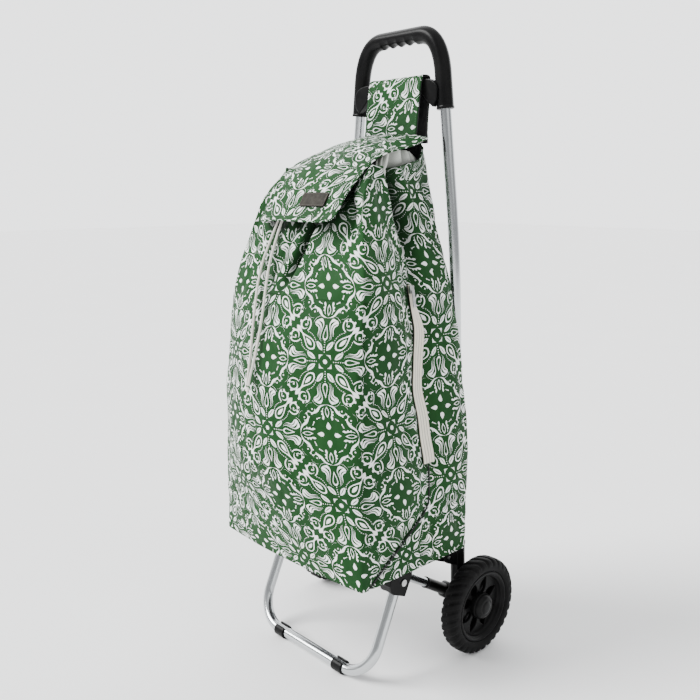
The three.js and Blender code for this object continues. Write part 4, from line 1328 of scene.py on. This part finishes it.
def make_label():
    """The blank label: a thin leather patch with rounded corners and a stitched border."""
    low, high = np.array(FLAP_LINE[1], float), np.array(FLAP_LINE[2], float)
    slope = unit(high - low)
    up = np.array([0, -slope[2], slope[1]])
    middle = (low + high) / 2 + (LABEL_X, 0, 0) + up * 0.8
    wide, tall = (half - LABEL_CORNER for half in LABEL_HALF)
    corners = []
    for cx, cy, first in ((wide, tall, 0), (-wide, tall, 90), (-wide, -tall, 180), (wide, -tall, 270)):
        for turn in np.radians(np.arange(first, first + 91, 15)):
            corners.append((cx + LABEL_CORNER * math.cos(turn), cy + LABEL_CORNER * math.sin(turn)))
    patch = plate("label_leather", [corners], 1.0, 0.3, ((1, 0, 0), slope, up), middle, LEATHER)
    stands_for(patch, "flap", "label", "label_patch")
    line = []
    for a, b in ((1, 1), (-1, 1), (-1, -1), (1, -1), (1, 1)):
        line.append(middle + np.array([a * (wide + 0.6), 0, 0]) + slope * b * (tall + 0.6) + up * 0.55)
    line = even_line(line, 200)
    stitches("label_stitches", line, np.tile(up, (len(line), 1)), DARK_THREAD, "flap", "label",
             pitch=2.6, length=1.7, width=0.3)


LOOP_HALF, LOOP_X = 53, 7       # it hangs a little to the right of the middle
LOOP_LINE = [
    (0, -41, 779), (0, -33.5, 842), (0, -29.8, 860), (0, -25.5, 865.5), (0, -14.5, 865.5),
    (0, -10.6, 860), (0, -10.4, 844), (0, -14.2, 800), (0, -14.2, 770),
]


def make_loop():
    """The hanging loop over the crossbar: printed outside, black lining inside."""
    line = smooth_line(LOOP_LINE, 110)
    normals = line_normals(line)
    along = walked(line)
    t = np.linspace(-1, 1, 40)
    grid = line[:, None, :] + np.array([LOOP_HALF, 0, 0]) * t[None, :, None] + (LOOP_X, 0, 0)
    flat = bump(along, 88, 14)[:, None]
    ripple = 0.7 * soft_noise(grid, 26, 11) * (1 - flat) - 0.35
    hem = 0.3 * (1 - ramp((1 - np.abs(t)) * LOOP_HALF, 3.5, 4.5))[None, :]
    outer = grid + normals[:, None, :] * (ripple + hem)[..., None]
    uv = corner_uv(*np.meshgrid(LOOP_HALF * t - 34, along - 113))
    strap = grid_mesh("loop_strap", outer, [CLOTH], uv=uv)
    thicken(strap, 1.0)
    inner = grid - normals[:, None, :] * 1.9
    lining = grid_mesh("loop_lining", inner[2:], [DARK])
    thicken(lining, 0.6)
    stands_for(lining, "frame", "lining")
    stands_for(strap, "frame", "printed_fabric", "hanging_loop")
    for side in (LEFT, RIGHT):
        seam = line + (side * (LOOP_HALF - 3.5) + LOOP_X, 0, 0) + normals * 0.2
        stitches(side_name("loop_stitches", side), seam, normals, GREEN_THREAD,
                             "frame", "printed_fabric")


# ---- collar
RUFFLES = 27


def make_collar():
    """The satin drawstring collar: a ruffled band that flares over the bag's rear corners."""
    low = [(0, -176, 686), (60, -176, 688), (84, -168, 692), (76, -140, 700), (60, -108, 706),
           (62, -70, 716), (56, -30, 738), (30, -24, 744), (0, -24, 744)]
    high = [(0, -158, 724), (50, -157, 725), (72, -152, 730), (73, -132, 743), (70, -108, 754),
            (66, -82, 760), (50, -46, 758), (28, -32, 760), (0, -31, 762)]
    rings = []
    for line in (low, high):
        half = smooth_line(line, 120)
        rings.append(np.vstack([half, mirrored(half[-2:0:-1], LEFT)]))
    low, high = rings
    around = np.arange(len(low)) / len(low)
    centre = np.array([0, -100, 0])
    rows = []
    for share in np.linspace(0, 1, 26):
        row = low + (high - low) * share
        away = unit((row - centre) * (1, 1, 0))
        wave = np.sin(around * math.tau * RUFFLES + 2.4 * np.sin(around * 31))
        ruffle = (5.5 * wave - 3.4) * (0.25 + 0.75 * share)
        belly = 3 * math.sin(math.pi * share) * ramp(row[:, 1], -120, -60)
        rows.append(row + away * (ruffle + belly)[:, None])
    collar = grid_mesh("satin_collar", rows, [SATIN], wrap=True)
    thicken(collar, 0.8)
    stands_for(collar, "frame", "lining", "drawstring_collar")


# ---- side zip
ZIP_SPAN = (574, 325)
TOOTH_PITCH = 1.5


def side_surface(y, z):
    """The x of the smooth right side at y and z, which folds inward at its valley."""
    front, valley, rear = (edge_at(e, z) for e in (FRONT_EDGE, VALLEY_EDGE, REAR_EDGE))
    ahead = (valley[..., 1] - y) / (valley[..., 1] - front[..., 1])
    behind = (y - valley[..., 1]) / (rear[..., 1] - valley[..., 1])
    return valley[..., 0] + np.where(
        ahead > 0, ahead * (front[..., 0] - valley[..., 0]), behind * (rear[..., 0] - valley[..., 0]))


def make_zip():
    """The zip: a ribbed tape, narrow at the top where it is drawn in, and wide at its foot."""
    z = np.linspace(*ZIP_SPAN, 420)[:, None]
    down = (ZIP_SPAN[0] - z) / (ZIP_SPAN[0] - ZIP_SPAN[1])
    across = np.linspace(-1, 1, 41)[None, :]
    half = 3 + 5.5 * ramp(down, 0, 0.3) + 2.6 * down
    y = zip_line(z) + half * across
    ribs = 0.9 * np.abs(np.sin(across * math.pi * 2)) ** 0.7
    teeth = np.sin((ZIP_SPAN[0] - z) * math.tau / TOOTH_PITCH)
    coil = 0.25 * bump(across, 0, 0.12) * (1 + 0.8 * teeth)
    x = side_surface(y, z) + 1.3 + ribs + coil
    grid = np.stack(np.broadcast_arrays(x, y, z), axis=-1)
    uv = corner_uv(*np.meshgrid(across[0] * ZIP_CLOTH_HALF, z[:, 0]))
    tape = grid_mesh("zip_ribbon", grid, [ZIP_CLOTH], uv=uv)
    thicken(tape, 0.8)
    stands_for(tape, "frame", "zip", "zip_tape")
    crumple(tape)


# ---- small hardware
HARDWARE_BEVEL = 0.35
HARDWARE = {
    "axle": STEEL, "base_cross_bar": STEEL, "base_board": BOARD,
    "zip_slider": STEEL, "zip_pull": STEEL,
}
PAIRED_HARDWARE = {
    "axle_clip": STEEL, "axle_spacer": PLASTIC, "base_pivot_pin": STEEL, "base_rail": PLASTIC,
    "elbow_bracket": PLASTIC, "elbow_rivet": STEEL, "eyelet": STEEL,
}


def finish_hardware():
    """Small CAD parts keep their shape and get rounded edges and a real finish."""
    finishes = dict(HARDWARE)
    for stem, item in PAIRED_HARDWARE.items():
        finishes[stem + "_left"] = finishes[stem + "_right"] = item
    for name, item in finishes.items():
        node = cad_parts[name]
        for slot in node.material_slots:
            slot.material = item
        soften(node, HARDWARE_BEVEL)


# ---- studio
def make_sky():
    """A bright studio backdrop: lightest behind and above the object, dimmer on its right."""
    world = bpy.data.worlds.new("studio")
    world.use_nodes = True
    tree = world.node_tree
    place = add_node(tree, "TexCoord").outputs["Generated"]
    toward = add_node(tree, "VectorMath", {0: place, 1: (-0.68, 0.73, 0)}, operation="DOT_PRODUCT")
    parts = add_node(tree, "SeparateXYZ", {0: place})
    backdrop = spread(Value(tree, toward.outputs["Value"]), 0, 2.1, (0.15, 0.65))
    ceiling = spread(Value(tree, parts.outputs[2]), 0, 0.5, (0.25, 0.9))
    background = tree.nodes["Background"]
    background.inputs["Color"].default_value = (0.98, 0.99, 1, 1)
    tree.links.new((backdrop + ceiling + 0.55).socket, background.inputs["Strength"])
    SCENE.world = world


def make_sun(name, towards, strength, softness):
    data = bpy.data.lights.new(name, "SUN")
    data.energy = strength
    data.angle = math.radians(softness)
    light = bpy.data.objects.new(name, data)
    light.location = (0, -1, 2)
    light.rotation_euler = Vector(towards).to_track_quat("-Z", "Y").to_euler()
    SCENE.collection.objects.link(light)


def make_floor():
    floor = Finish("studio_floor", (0.9, 0.9, 0.9), 0.6, Specular_IOR_Level=0.2)
    floor.tint(floor.grain(3), (0.89, 0.89, 0.89), (0.92, 0.92, 0.92))
    reach = 14      # in m, as its corners are
    mesh = bpy.data.meshes.new("studio_floor")
    corners = [(x * reach, y * reach, 0) for x, y in ((-1, -1), (1, -1), (1, 1), (-1, 1))]
    mesh.from_pydata(corners, [], [(0, 1, 2, 3)])
    add_object("studio_floor", mesh, floor.item)


def make_studio():
    make_floor()
    make_sky()
    make_sun("key", (0.48, 0.62, -0.62), 6, 30)
    make_sun("rim", (-0.75, 0.1, -0.6), 0.6, 60)


make_drawstring()
make_handle()
make_uprights()
make_wheels()
make_stand()
make_braces()
make_bag()
make_flap()
make_label()
make_loop()
make_collar()
make_zip()
finish_hardware()
make_studio()
